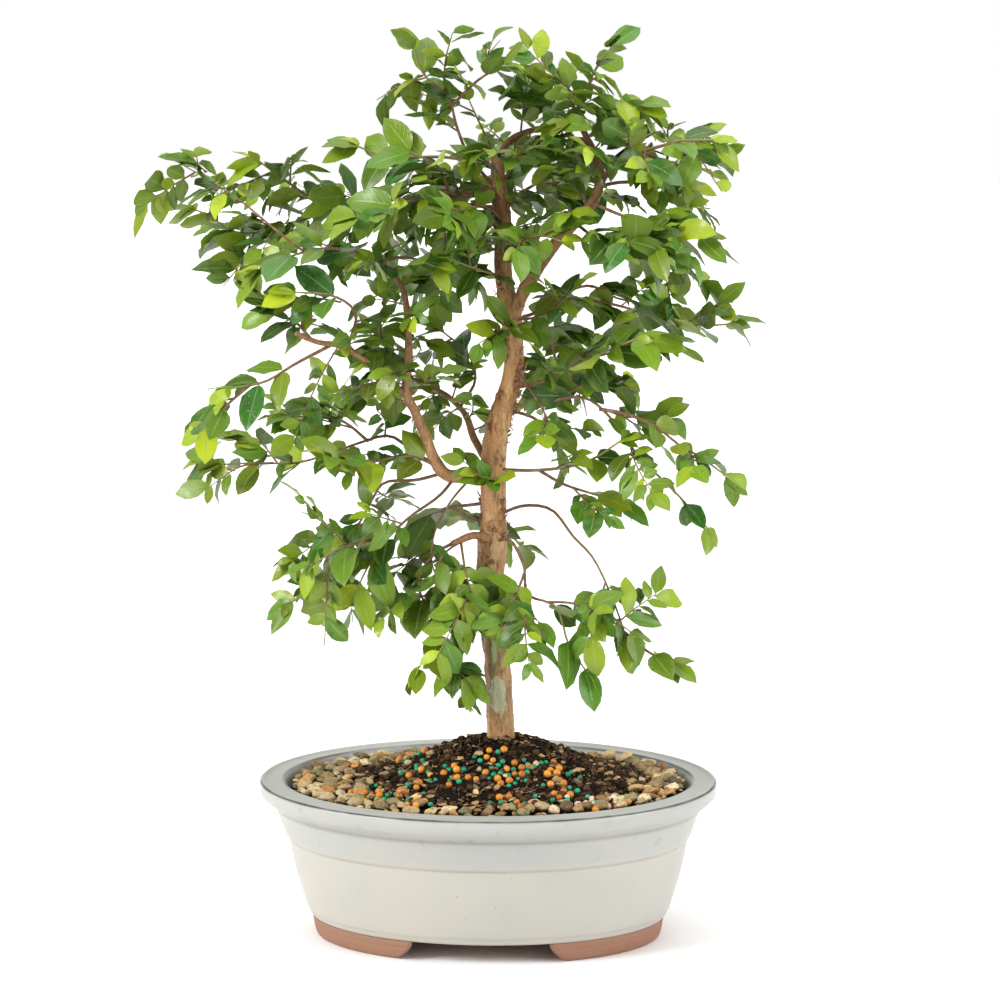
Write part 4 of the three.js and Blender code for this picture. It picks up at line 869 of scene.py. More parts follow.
# Rows of across, behind, height and radius, as they look from the viewpoint
TRUNK = [
    (7, 0, 76, 8.6), (7, 0, 100, 8.4), (6.8, 0, 118, 7.3), (6.2, 0, 136, 6.9), (4.6, 0, 155, 6.9),
    (3, 0, 175, 6.8), (1.1, 0, 199, 6.7), (2.8, 0, 217, 7.6), (3.7, 0, 236, 6.9), (3, 0, 261, 6.7),
    (5.2, 0, 281, 6.5), (9, 0, 296, 5.8), (13.4, 0, 312, 5.5), (14.5, 0, 328, 4.9), (12.2, 1, 346, 5.5),
    (8.7, 3, 364, 4.8), (8.6, 4, 382, 4.7), (8, 5, 398, 4.8), (6, 6, 414, 4.3), (5, 7, 432, 3.4),
]
LIMBS = {
    "right_limb": [
        (13, 0, 344, 4.0), (20, -4, 359, 3.7), (27, -8, 370, 3.5), (37, -12, 384, 3.2), (48, -14, 396, 3.0),
        (57, -14, 407, 2.7), (61, -12, 420, 2.3), (58, -9, 432, 1.9), (53, -6, 442, 1.6),
        (48.5, -3, 453, 1.3), (51, -2, 464, 1.1),
    ],
    "right_fork": [(60, -13, 416, 2.0), (67, -17, 426, 1.7), (74, -21, 430.5, 1.5), (81, -25, 433, 1.2)],
    "leader_arm": [
        (5, 7, 427, 2.1), (9, 9, 436, 2.0), (15, 12, 441.5, 1.8), (25, 15, 445, 1.7), (36, 18, 448, 1.4),
        (44, 20, 449.5, 1.1),
    ],
    "leader_stub": [(6, 6, 413, 2.4), (-5, -4, 411.5, 2.2), (-16, -12, 408.5, 2.1), (-29, -18, 403.5, 2.1)],
    "left_limb": [
        (3, 0, 262, 4.2), (-8, -5, 258.5, 3.8), (-19, -9, 256.5, 3.5), (-26, -12, 260, 3.4),
        (-31, -14, 270, 3.1), (-35, -16, 281, 2.8), (-40, -18, 292, 2.4), (-45, -20, 302, 2.2),
        (-43, -20, 314, 2.2), (-44, -18, 327, 2.0), (-43.5, -15, 342, 1.9), (-46, -11, 358, 1.5),
        (-51, -8, 368, 1.1),
    ],
    "left_fork": [
        (-44, -20, 300, 2.0), (-53, -24, 308, 1.8), (-61, -28, 315, 1.7), (-69, -32, 321, 1.6),
        (-78, -36, 327, 1.5), (-88, -40, 328.5, 1.4), (-97, -44, 331, 1.3), (-105, -47, 334.5, 1.2),
    ],
    "left_back_limb": [
        (1, 2, 262, 2.4), (-6, 8, 274, 2.1), (-10, 12, 284, 2.0), (-15, 16, 296, 1.7),
        (-24, 20, 301.5, 1.4), (-32, 22, 306, 1.1),
    ],
    "knot_limb": [(1, -3, 222, 4.0), (-4, -10, 224, 2.4), (-12, -15, 222.5, 1.9), (-20, -19, 219, 1.6)],
}
ROOTS = [
    [(7, 0, 98, 6.5), (-4, -6, 84, 4.6), (-22, -16, 72, 3.0), (-42, -26, 60, 1.6)],
    [(7, 0, 98, 6.5), (17, -8, 84, 4.6), (34, -20, 70, 3.0), (52, -30, 58, 1.6)],
    [(7, 0, 98, 6.5), (16, 9, 83, 4.6), (32, 20, 69, 2.9), (48, 32, 56, 1.6)],
    [(7, 0, 98, 6.5), (-3, 9, 84, 4.6), (-18, 22, 70, 2.9), (-34, 34, 56, 1.6)],
]
# Knots: where each is, how far it stands out, how wide it is, and how far its middle is sunk
TRUNK_KNOTS = [
    (1, -7, 222, 2.4, 7, 1.2), (11, -5, 398, 1.7, 5, 1.0), (14, -5, 287, 1.4, 4.5, 1.0),
    (13, -6, 340, 1.3, 5, 0.9), (5, -7, 186, 1.2, 4, 1.0), (-3, -5, 244, 1.0, 4, 0.0),
    (9, -7, 116, 1.4, 7, 0.0), (3, -7, 168, 0.8, 5, 0.0), (10, -6, 268, 0.9, 4, 0.8),
    (4, -7, 306, 0.9, 5, 0.7), (12, -3, 200, 1.0, 4, 0.0), (-5, -3, 148, 1.0, 5, 0.0),
]
LIMB_KNOTS = [(-27, -14, 262, 1.0, 4, 0.0), (60, -15, 418, 0.9, 4, 0.0), (-44, -21, 300, 1.0, 4, 0.0)]
TRUNK_STEP, TRUNK_RINGS, TRUNK_SIDES = 17, 460, 56
LIMB_STEP, LIMB_RINGS_A_ROW, LIMB_SIDES = 14, 16, 20
ROOT_STEP, ROOT_RINGS, ROOT_SIDES = 20, 40, 16
BARK_FLAKES = 320
FLAKES_A_CLUMP = 7
FLAKE_SEED = 70000
YOUNG_BARK = (0.27, 0.125, 0.05, 1)
OLD_BARK = (0.52, 0.27, 0.10, 1)
# A dark red-brown, painted as shade on the wood up in the crown
BARK_IN_CROWN_SHADE = (0.17, 0.07, 0.028, 1)
BARK_STREAK = (0.19, 0.085, 0.034, 1)
BARK_UNDER_FLAKE = (0.66, 0.43, 0.20, 1)
BARK_RUST = (0.42, 0.18, 0.065, 1)
BARK_FLECK = (0.70, 0.50, 0.28, 1)
BARK_CRACK = (0.055, 0.026, 0.012, 1)
BARK_MOSS = (0.29, 0.25, 0.115, 1)
PALE_PATCH = (0.60, 0.60, 0.39, 1)
CUT_WOOD = (0.62, 0.50, 0.32, 1)
PALE_PATCH_CENTRE = np.array([5.8, -7, 135.5])


def from_front(rows):
    """Rows of across, behind and height as they look from the front, moved along their lines of
    sight: the viewpoint plus the row's distance from it, times the row's share of the depth."""
    rows = np.asarray(rows, float)[:, :3]
    reach = 1 - rows[:, 1:2] / VIEWPOINT[1]
    place = VIEWPOINT + (rows - VIEWPOINT) * reach
    place[:, 1] = rows[:, 1]
    return place


def along_curve(points, t):
    """Points at shares t of the smooth curve through points: on each stretch the cubic that leaves
    and arrives with half the step between its neighbours, with the ends carried on straight."""
    points = np.asarray(points, float)
    full = np.concatenate([[2 * points[0] - points[1]], points, [2 * points[-1] - points[-2]]])
    place = np.asarray(t, float) * (len(points) - 1)
    first = np.clip(np.floor(place).astype(int), 0, len(points) - 2)
    s = (place - first)[..., None]
    a, b, c, d = (full[first + k] for k in range(4))
    leave, arrive = (c - a) / 2, (d - b) / 2
    second, third = 3 * (c - b) - 2 * leave - arrive, 2 * (b - c) + leave + arrive
    return b + leave * s + second * s ** 2 + third * s ** 3


def step_count(points, step):
    """How many straight lengths of about one step make up a path."""
    chord = np.linalg.norm(np.diff(points, axis=0), axis=1).sum()
    return max(2, int(np.floor(chord / step + 0.5)))


def joints_of(points, step):
    """The joints between the straight lengths of the solid stem."""
    steps = step_count(points, step)
    return along_curve(points, np.arange(steps + 1) / steps)


def woody_stem(rows, step, rings, sides, knots):
    """A tube on the smooth curve through the solid stem's joints. Its radius is the rows' own, with
    noise drawn out along the stem for ribs, stepped noise for plates of bark, and a swelling round
    each knot that falls off with the distance, less the knot's hollow middle."""
    path = along_curve(joints_of(from_front(rows), step), np.linspace(0, 1, rings))
    radius = np.interp(np.linspace(0, 1, rings), np.linspace(0, 1, len(rows)), [row[3] for row in rows])
    points, faces = bent_tubes(path[None], np.repeat(radius[:, None], sides, 1)[None], sides)
    ring_points = points.reshape(-1, sides, 3)[1:-1]
    length = np.concatenate([[0], np.linalg.norm(np.diff(path, axis=0), axis=1).cumsum()])
    wrapped = ring_points - path[:, None] + np.array([0, 0, 1]) * length[:, None, None]
    ribs = lattice_noise(wrapped * [0.3, 0.3, 0.06], 11) * 0.75
    ribs += lattice_noise(wrapped * [0.6, 0.6, 0.2], 12) * 0.4
    plates = np.round(lattice_noise(wrapped * [0.25, 0.25, 0.1], 13) * 2.5) / 2.5 * 0.6
    fine = lattice_noise(wrapped * [1.2, 1.2, 1.0], 14) * 0.3
    relief = (ribs + plates + fine) * np.minimum(radius[:, None] / 6.5, 1) * 0.9
    hollow = np.zeros_like(relief)
    for x, y, z, swell, width, sunk in knots:
        away = np.linalg.norm(ring_points - np.array([x, y, z]), axis=-1) / width
        middle = np.exp(-(away / 0.42) ** 2)
        relief += swell * 0.6 * np.exp(-away ** 2) - sunk * middle
        hollow += middle * (sunk > 0.4)
    points, faces = bent_tubes(path[None], (radius[:, None] + relief)[None], sides)
    age = np.clip((radius - 1.0) / 5.5, 0, 1)
    shades = {
        "age": np.repeat(np.concatenate([age[:1], age, age[-1:]]), sides),
        "cut_end": np.repeat(np.concatenate([np.zeros(rings + 1), [1.0]]), sides),
        "hollow": np.pad(np.clip(hollow, 0, 1).ravel(), sides),
    }
    return points, faces, shades


def joined(parts):
    """Parts, each made of points, faces and values, as one: the faces' numbers move on by the count
    of the points before them."""
    starts = np.cumsum([0] + [len(points) for points, _, _ in parts[:-1]])
    faces = [faces + start for (_, faces, _), start in zip(parts, starts)]
    values = {key: np.concatenate([part[2][key] for part in parts]) for key in parts[0][2]}
    return np.concatenate([part[0] for part in parts]), np.concatenate(faces), values


def bark_flakes(trunk):
    """Loose ends of bark, in clumps: flat broken bits whose length runs along the trunk and whose
    outer end stands off it. Each starts at a point of the trunk's own surface."""
    rings = trunk[0].reshape(-1, TRUNK_SIDES, 3)
    middles = rings.mean(1)
    seeds = np.arange(BARK_FLAKES) + FLAKE_SEED
    clump = seeds // FLAKES_A_CLUMP
    share = between(0.13, 0.92, clump, 91) + between(-0.02, 0.02, seeds, 92)
    ring = np.floor(share * len(rings)).astype(int)
    side = np.floor((chance(clump, 93) + between(-0.05, 0.05, seeds, 94)) * TRUNK_SIDES) % TRUNK_SIDES
    side = side.astype(int)
    root = rings[ring, side]
    outward = unit(root - middles[ring])
    along = unit(middles[ring + 4] - middles[ring - 4]) * np.where(chance(seeds, 95) < 0.6, 1, -1)[:, None]
    length = unit(along + outward * between(0.1, 1.3, seeds, 96)[:, None])
    width = unit(np.cross(length, outward))
    axes = np.stack([length, width, np.cross(length, width)], 1)
    corners, ball_faces = ROUND_BIT
    size = 1.2 + 2.2 * chance(seeds, 97) ** 2
    thin = between(0.16, 0.28, seeds, 99)
    sizes = np.stack([size, size * between(0.45, 0.8, seeds, 98), thin], -1)
    shape = broken(np.broadcast_to(corners, (len(seeds), *corners.shape)), seeds, 3) * sizes[:, None]
    points = root[:, None] + length[:, None] * sizes[:, None, :1] * 0.65 + shape @ axes
    faces = ball_faces[None] + (np.arange(len(seeds)) * len(corners))[:, None, None]
    flat = np.zeros(points.shape[0] * points.shape[1])
    return points.reshape(-1, 3), faces.reshape(-1, 4), {"age": flat + 0.3, "cut_end": flat, "hollow": flat}


def make_wood():
    """Trunk, limbs, roots and loose flakes in one piece, since they are one growth."""
    trunk = woody_stem(TRUNK, TRUNK_STEP, TRUNK_RINGS, TRUNK_SIDES, TRUNK_KNOTS)
    limbs = [woody_stem(rows, LIMB_STEP, LIMB_RINGS_A_ROW * len(rows), LIMB_SIDES, LIMB_KNOTS)
             for rows in LIMBS.values()]
    roots = [woody_stem(rows, ROOT_STEP, ROOT_RINGS, ROOT_SIDES, []) for rows in ROOTS]
    points, faces, values = joined([trunk, bark_flakes(trunk), *limbs, *roots])
    piece = add_piece("trunk_and_limbs", points, faces, [bark()], values=values, welded=True)
    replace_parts(piece, "wood")


def bark():
    """Bark by the stem's age, with streaks, fallen flakes, rust, flecks, moss and cracks, and darkened high
    up with painted shade under the crown.
    """
    material, paint = new_finish("bark")
    place = object_place(paint)
    drawn_out = place.stretched((1.0, 1.0, 0.28))
    age = attribute(paint, "age")
    colour = paint.mix(YOUNG_BARK, OLD_BARK, age.step(0.1, 0.7))
    streaks = noise(paint, drawn_out, 0.4, 5.0, 0.7)
    colour = paint.mix(colour, BARK_STREAK, streaks.step(0.48, 0.66) * 0.8)
    flakes = noise(paint, drawn_out, 0.13, 4.0, 0.65)
    colour = paint.mix(colour, BARK_UNDER_FLAKE, flakes.step(0.53, 0.57) * age * 0.8)
    rust = noise(paint, drawn_out, 0.08, 3.0, 0.6)
    colour = paint.mix(colour, BARK_RUST, rust.step(0.53, 0.62) * 0.6)
    mottle = noise(paint, place, 1.1, 4.0, 0.7)
    colour = paint.mix(colour, BARK_FLECK, mottle.step(0.56, 0.68) * 0.45)
    lichen = noise(paint, place, 0.075, 4.0, 0.6)
    up = place.parts()[2]
    # Painted shade: the wood darkens with height into the crown, under the foliage
    colour = paint.mix(colour, BARK_IN_CROWN_SHADE, up.step(330 * MM, 410 * MM) * 0.6)
    low, at_base = up.step(230 * MM, 160 * MM), up.step(142 * MM, 118 * MM)
    mossy = lichen.step(0.55, 0.62) * low * 0.5 + at_base * lichen.step(0.4, 0.6) * 0.6
    colour = paint.mix(colour, BARK_MOSS, mossy)
    colour = paint.mix(colour, PALE_PATCH, pale_patch(paint, place))
    cracks = noise(paint, drawn_out, 0.9, 4.0, 0.6)
    dark = cracks.step(0.58, 0.7) * 0.65 + mottle.step(0.44, 0.34) * 0.35 + attribute(paint, "hollow") * 0.8
    colour = paint.mix(colour, BARK_CRACK, dark)
    colour = paint.mix(colour, CUT_WOOD, attribute(paint, "cut_end") * 0.8)
    relief = streaks * 0.6 + flakes.step(0.52, 0.57) * 0.4 + cracks * 0.4 + mottle * 0.3
    coat_with(paint, {"Base Color": colour, "Roughness": mottle * 0.2 + 0.36, "Specular IOR Level": 0.45,
                      "Normal": bumps(paint, 0.8, 0.9, relief)})
    return material


def pale_patch(paint, place):
    """1 on the front of the trunk's foot where the last flake has fallen, within a ragged oval."""
    centre = (SOLE_MIDDLE + PALE_PATCH_CENTRE) * MM
    local = paint.node("Mapping", {}, {"Vector": place, "Location": tuple(-centre)})
    across, behind, up = local.parts()
    across, behind, up = across / (4.8 * MM), behind / MM, up / (11.0 * MM)
    ragged = noise(paint, place, 0.22, 5.0, 0.7) * 2.6 - 1.3
    return (across * across + up * up + ragged).step(0.95, 0.85) * behind.step(6, 4.5)


make_wood()


# The foliage: thin twigs with opposite pairs of small leathery leaves, glossy and dark when grown,
# yellow-green when young. Each spray is one growth from the wood.
LEAF_THICKNESS = 0.78
LEAF_WIDTH_SHARE = 0.56
PAIR_SPACING = 18.9
LEAF_TRIES = 5
LEAF_ROOT_OFFSET = 0.25
LAST_PAIR = 0.985
TWIG_STEP = 18
TWIG_SIDES = 6
CROWN_MIDDLE = np.array([7.0, 35.0])
CROWN_FLATNESS = 0.2
CROWN_LOW, CROWN_HIGH = (np.array(corner) / MM - SOLE_MIDDLE for corner in cad_box)
# The share of the usual number of small leaves and shoots that a spray bears, where it isn't 1
FULLNESS = {
    "spray_right_long": 0.1, "spray_back_low": 0.05, "spray_right_inner": 0.5, "spray_trunk_tuft": 0.6,
    "spray_pendant": 0.6, "spray_right_arch": 0.2, "spray_right_low": 0.05, "spray_left_low": 0.5,
    "spray_right_middle": 0.6, "spray_right_back": 0.45, "spray_back_left": 0.2, "spray_right_upper": 0.5,
    "spray_top_right": 0.6, "spray_left_bright": 0.2, "spray_left_upper": 0.1, "spray_left_front": 0.4,
    "spray_right_bright": 0.6, "spray_right_front": 0.5, "spray_crown_left": 0.05, "spray_back_right": 0.6,
    "spray_right_round": 0.15, "spray_left_far": 0.2, "spray_left_row": 0.6, "spray_top_left": 0.6,
    "spray_front_leader": 0.6, "spray_left_under": 0.8,
}
# A spray's twigs: for each the share at its root that is bare, the length of its leaves, and its
# places across, behind and up as they look from the viewpoint
SPRAYS = {
    "spray_top_left": [
        (0.42, 29, [(6, 6, 412), (-3, 1, 424), (-11, -4, 432), (-16, -8, 441), (-17, -10, 451),
                    (-19, -11, 460), (-26, -13, 468), (-33, -15, 473), (-38, -16, 481), (-40, -17, 489)]),
        (0.3, 26, [(-18, -11, 458), (-10, -16, 468), (0, -20, 475), (9, -22, 480)]),
    ],
    "spray_top_middle": [
        (0.3, 31, [(35, 18, 448), (37, 13, 454), (36, 7, 461), (33, 3, 468)]),
    ],
    "spray_top_right": [
        (0.15, 27, [(51, -2, 461), (55, -2, 472), (61, -3, 482), (67, -4, 490)]),
        (0.3, 29, [(54, -2, 470), (62, -10, 464), (72, -14, 460), (80, -16, 458)]),
    ],
    "spray_right_high": [
        (0.15, 27, [(78, -24, 432), (88, -28, 435), (98, -32, 438), (110, -36, 440), (122, -39, 440)]),
        (0.3, 28, [(84, -26, 433.5), (92, -19, 429.5), (101, -13, 425.5), (112, -9, 427), (124, -6, 430)]),
    ],
    "spray_right_upper": [
        (0.35, 29, [(60, -12, 415), (70, -4, 417), (83, 4, 417), (94, 10, 415), (104, 13, 409),
                    (114, 16, 403)]),
        (0.6, 14, [(92, 9, 415.5), (97, 4, 424), (96, 1, 434), (97, -1, 446)]),
    ],
    "spray_right_bright": [
        (0.3, 30, [(57, -14, 406), (68, -26, 401), (80, -34, 397), (92, -40, 393), (104, -44, 390),
                   (116, -46, 387)]),
    ],
    "spray_right_front": [
        (0.25, 32, [(48, -14, 395), (56, -30, 389), (68, -44, 386), (80, -54, 384), (92, -62, 381)]),
    ],
    "spray_right_back": [
        (0.25, 30, [(38, -12, 384), (50, 6, 386), (62, 26, 386), (76, 42, 384), (90, 52, 379),
                    (104, 58, 371), (117, 62, 364)]),
    ],
    "spray_right_middle": [
        (0.28, 30, [(13, 1, 342), (25, 8, 345), (36, 14, 353), (50, 20, 354), (64, 26, 352),
                    (79, 30, 348.5), (93, 34, 342.5), (106, 37, 340), (120, 39, 340), (134, 40, 341)]),
        (0.3, 29, [(36, 14, 353), (46, 26, 359), (57, 38, 361), (69, 48, 355), (82, 56, 352)]),
    ],
    "spray_right_glossy": [
        (0.3, 34, [(14, -1, 305), (26, -8, 307), (34, -14, 311), (42, -20, 315), (50, -26, 319),
                   (57, -30, 321.5), (65, -34, 325.5), (73, -38, 330), (82, -42, 333)]),
    ],
    "spray_right_long": [
        (0.35, 23, [(11, -1, 296), (22, -4, 296.5), (29, -6, 295.5), (37, -8, 298), (45, -11, 301),
                    (53, -14, 300.5), (61, -17, 294.5), (69, -20, 287), (78, -24, 275), (84, -27, 266),
                    (93, -30, 258), (100, -32, 251), (108, -34, 243), (116, -36, 234), (121, -37, 228)]),
        (0.2, 25, [(61, -17, 294.5), (73, -26, 292), (86, -34, 288), (98, -40, 280),
                   (108, -44, 272), (118, -48, 267), (130, -52, 258)]),
    ],
    "spray_right_inner": [
        (0.45, 22, [(9, 2, 294), (22, 10, 291), (29, 16, 286), (35, 22, 278.5), (40, 26, 271),
                    (43, 30, 264)]),
    ],
    "spray_right_round": [
        (0.5, 22, [(4, -2, 260.5), (17, -6, 261), (28, -10, 260), (40, -15, 262.5), (50, -19, 262.5),
                   (57, -23, 266), (65, -27, 272), (73, -31, 277)]),
        (0.5, 24, [(28, -10, 260), (38, -8, 254), (48, -6, 250.5), (60, -4, 246.5), (73, -2, 242.5)]),
    ],
    "spray_right_low": [
        (0.6, 29, [(5, -1, 235), (14, -3, 239.5), (21, -5, 240.5), (29, -7, 240), (38, -10, 236.5),
                   (44, -12, 227.5), (49.5, -14, 220.5), (56, -16, 213.5), (62, -18, 206.5), (67, -20, 193),
                   (74, -24, 178), (77, -27, 166)]),
        (0.25, 25, [(76, -26, 170), (84, -30, 162.5), (92, -33, 158), (101, -36, 153.5)]),
    ],
    "spray_right_arch": [
        (0.48, 28, [(4, -3, 221), (7, -10, 224.5), (12, -14, 221.5), (16.5, -16, 216), (19.5, -18, 209),
                    (20, -19, 202), (20, -20, 194), (25, -23, 189), (32, -27, 187), (40, -31, 182),
                    (43, -34, 172), (45, -36, 162), (50, -39, 155), (54, -41, 149)]),
        (0.1, 25, [(20, -20, 195), (12, -23, 190), (4, -25, 187), (-5, -28, 184)]),
    ],
    "spray_pendant": [
        (0.25, 28, [(-15, -16, 221.5), (-24, -21, 216), (-32, -24, 211), (-39, -27, 202),
                    (-37, -29, 192), (-33, -31, 183), (-31, -32, 175), (-30, -33, 167), (-34, -34, 157),
                    (-39, -35, 148)]),
        (0.3, 27, [(-30, -33, 168), (-22, -31, 157), (-14, -29, 147)]),
    ],
    "spray_left_under": [
        (0.35, 28, [(-18, -9, 256), (-23, -13, 248), (-34, -18, 241), (-46, -24, 231), (-56, -29, 221),
                    (-62, -33, 212), (-68, -36, 203), (-72, -38, 194)]),
        (0.2, 28, [(-50, -26, 227), (-60, -38, 222), (-72, -47, 219), (-86, -52, 214), (-98, -54, 206)]),
    ],
    "spray_left_low": [
        (0.45, 29, [(-25, -11, 258), (-35, -4, 254.5), (-45, 4, 254), (-57, 10, 252.5), (-63, 14, 245),
                    (-67, 17, 236), (-73, 20, 227), (-80, 23, 220), (-92, 26, 214), (-104, 28, 208)]),
        (0.1, 30, [(-80, 23, 220), (-84, 20, 207), (-90, 16, 197), (-99, 13, 190), (-108, 11, 186)]),
    ],
    "spray_left_row": [
        (0.38, 29, [(-27, -12, 262), (-35, -8, 265), (-42, -5, 271), (-50, -2, 277), (-59, 0, 279),
                    (-69, 2, 275), (-78, 4, 272), (-88, 6, 268), (-99, 8, 263), (-111, 8, 263.5),
                    (-123, 8, 263), (-135, 8, 263), (-147, 8, 262)]),
        (0.3, 29, [(-66, 1, 277), (-74, -10, 283), (-83, -20, 288), (-93, -27, 291)]),
    ],
    "spray_left_far": [
        (0.2, 28, [(-86, -39, 328), (-96, -44, 322.5), (-105, -48, 318), (-113, -52, 312),
                   (-122, -56, 308), (-132, -59, 306), (-141, -61, 304)]),
        (0.2, 26, [(-130, -58.5, 306.5), (-139, -62, 299), (-147, -64, 291), (-154, -66, 283)]),
    ],
    "spray_left_stub": [
        (0.2, 27, [(-96, -43.5, 330.5), (-102, -38, 338), (-109, -33, 343), (-118, -30, 346)]),
    ],
    "spray_left_bright": [
        (0.3, 30, [(-77, -35.5, 326), (-75, -40, 336), (-72, -43, 345), (-75, -48, 352),
                   (-84, -54, 355), (-95, -58, 356), (-105, -60, 357)]),
    ],
    "spray_left_upper": [
        (0.2, 31, [(-50, -8, 366), (-58, -16, 372), (-66, -24, 376), (-76, -30, 380), (-88, -36, 381),
                   (-100, -40, 379), (-112, -43, 375), (-123, -46, 371)]),
        (0.3, 29, [(-60, -18, 373.5), (-50, -30, 376), (-38, -40, 375), (-28, -46, 371)]),
    ],
    "spray_left_inner": [
        (0.35, 29, [(7, 5, 396), (-6, 12, 396.5), (-17, 18, 394), (-28, 22, 390), (-40, 25, 386),
                    (-50, 26, 383), (-58, 26, 378), (-67, 25, 372)]),
    ],
    "spray_left_front": [
        (0.1, 31, [(-15, -12, 408.5), (-22, -20, 412), (-32, -28, 411), (-44, -36, 406), (-58, -42, 401),
                   (-72, -46, 397)]),
        (0.1, 33, [(-20, -18, 411), (-23, -24, 421), (-32, -28, 429), (-42, -30, 433)]),
    ],
    "spray_left_high": [
        (0.35, 29, [(8, 6, 404), (-8, 24, 404), (-24, 34, 402.5), (-42, 42, 401), (-58, 47, 400),
                    (-72, 50, 400), (-87, 52, 401), (-98, 52, 397), (-109, 52, 393), (-120, 52, 390),
                    (-132, 52, 389), (-143, 52, 391), (-152, 52, 399), (-160, 52, 402)]),
        (0.15, 28, [(-87, 52, 401), (-97, 46, 408.5), (-107, 42, 415.5), (-116, 39, 422), (-124, 37, 428)]),
    ],
    "spray_crown_left": [
        (0.3, 30, [(5, 7, 424), (-8, 16, 428), (-20, 22, 430), (-34, 24, 431), (-48, 25, 430),
                   (-60, 26, 432), (-70, 26, 436)]),
    ],
    "spray_crown_back": [
        (0.2, 30, [(8, 6, 400), (13, 24, 406), (15, 44, 412), (13, 64, 416), (9, 82, 418)]),
        (0.2, 29, [(14, 34, 409.5), (28, 46, 417), (40, 60, 421), (48, 76, 423)]),
    ],
    "spray_back_left": [
        (0.25, 30, [(8, 5, 388), (-6, 28, 380), (-22, 52, 377), (-36, 74, 374), (-46, 92, 370)]),
        (0.2, 29, [(-14, 40, 378.5), (-34, 48, 368), (-52, 58, 360), (-66, 68, 352)]),
    ],
    "spray_back_right": [
        (0.25, 30, [(14, 1, 334), (26, 24, 338), (38, 46, 338), (46, 68, 336), (50, 88, 332)]),
        (0.2, 29, [(32, 36, 338), (36, 54, 326), (36, 70, 314), (30, 84, 304)]),
    ],
    "spray_back_low": [
        (0.25, 29, [(0, 2, 242), (-14, 22, 240), (-26, 42, 238), (-36, 60, 232), (-42, 76, 224)]),
        (0.2, 28, [(-20, 32, 239), (-6, 50, 232), (8, 66, 226), (20, 80, 218)]),
    ],
    "spray_front_leader": [
        (0.2, 27, [(16, -2, 352), (14, -12, 362), (8, -20, 365), (0, -28, 368), (-10, -34, 372),
                   (-22, -38, 376)]),
    ],
    "spray_front_trunk": [
        (0.6, 27, [(11, -2, 334), (11, -10, 336), (12, -18, 339)]),
    ],
    "spray_trunk_tuft": [
        (0.6, 20, [(3, -3, 250), (2, -10, 252), (1, -16, 255)]),
    ],
    "spray_back_cluster": [
        (0.15, 30, [(-31, 22, 305.5), (-39, 24, 310.5), (-48, 28, 313), (-58, 32, 315.5), (-66, 36, 319)]),
    ],
    "spray_inner_cluster": [
        (0.4, 30, [(-15, 16, 295), (-9, 20, 304), (-6.5, 23, 312), (-9, 26, 321), (-16, 29, 330),
                   (-26, 32, 337)]),
    ],
}
# A blade's grid: shares of its length, and of its half width from edge to edge
BLADE_GRID = (np.array([0.0, 0.05, 0.1, 0.2, 0.34, 0.5, 0.66, 0.81, 0.92, 1.0]),
              np.array([-1.0, -0.55, 0.0, 0.55, 1.0]))
SMALL_BLADE_GRID = (np.array([0.0, 0.07, 0.2, 0.36, 0.54, 0.72, 0.88, 1.0]), np.array([-1.0, 0.0, 1.0]))
BLADE_THICKNESS = 0.3
PETIOLE = 0.05
LEAF_CREASE = 1.2
SMALL_PAIR_SPACING = 20
SPRAY_MARGIN = 10
SHOOT_SPACING = 17
SHOOT_LENGTHS = (16, 46)
SHOOT_PAIR_SPACING = 9
LAST_SHOOT = 0.92
LIMB_SHOOT_SPREAD = 1.6
# How thick a stem is at its root and at its tip, as radii
TWIG_RADII = (1.05, 0.5)
FINE_TWIG_RADII = (0.8, 0.35)
SHOOT_RADII = (0.6, 0.3)
# Limbs that bear leafy shoots of their own: the shares of the limb between which they grow, how
# many there are, and the length of their leaves
SHOOTS_ON_LIMBS = [
    ("trunk", 0.8, 1.0, 11, 25), ("right_limb", 0.4, 1.0, 12, 25), ("right_fork", 0.3, 1.0, 5, 25),
    ("leader_arm", 0.1, 1.0, 9, 25), ("leader_stub", 0.3, 0.95, 3, 26), ("left_limb", 0.5, 1.0, 10, 24),
    ("left_fork", 0.3, 0.9, 4, 24), ("left_back_limb", 0.25, 1.0, 6, 24),
]
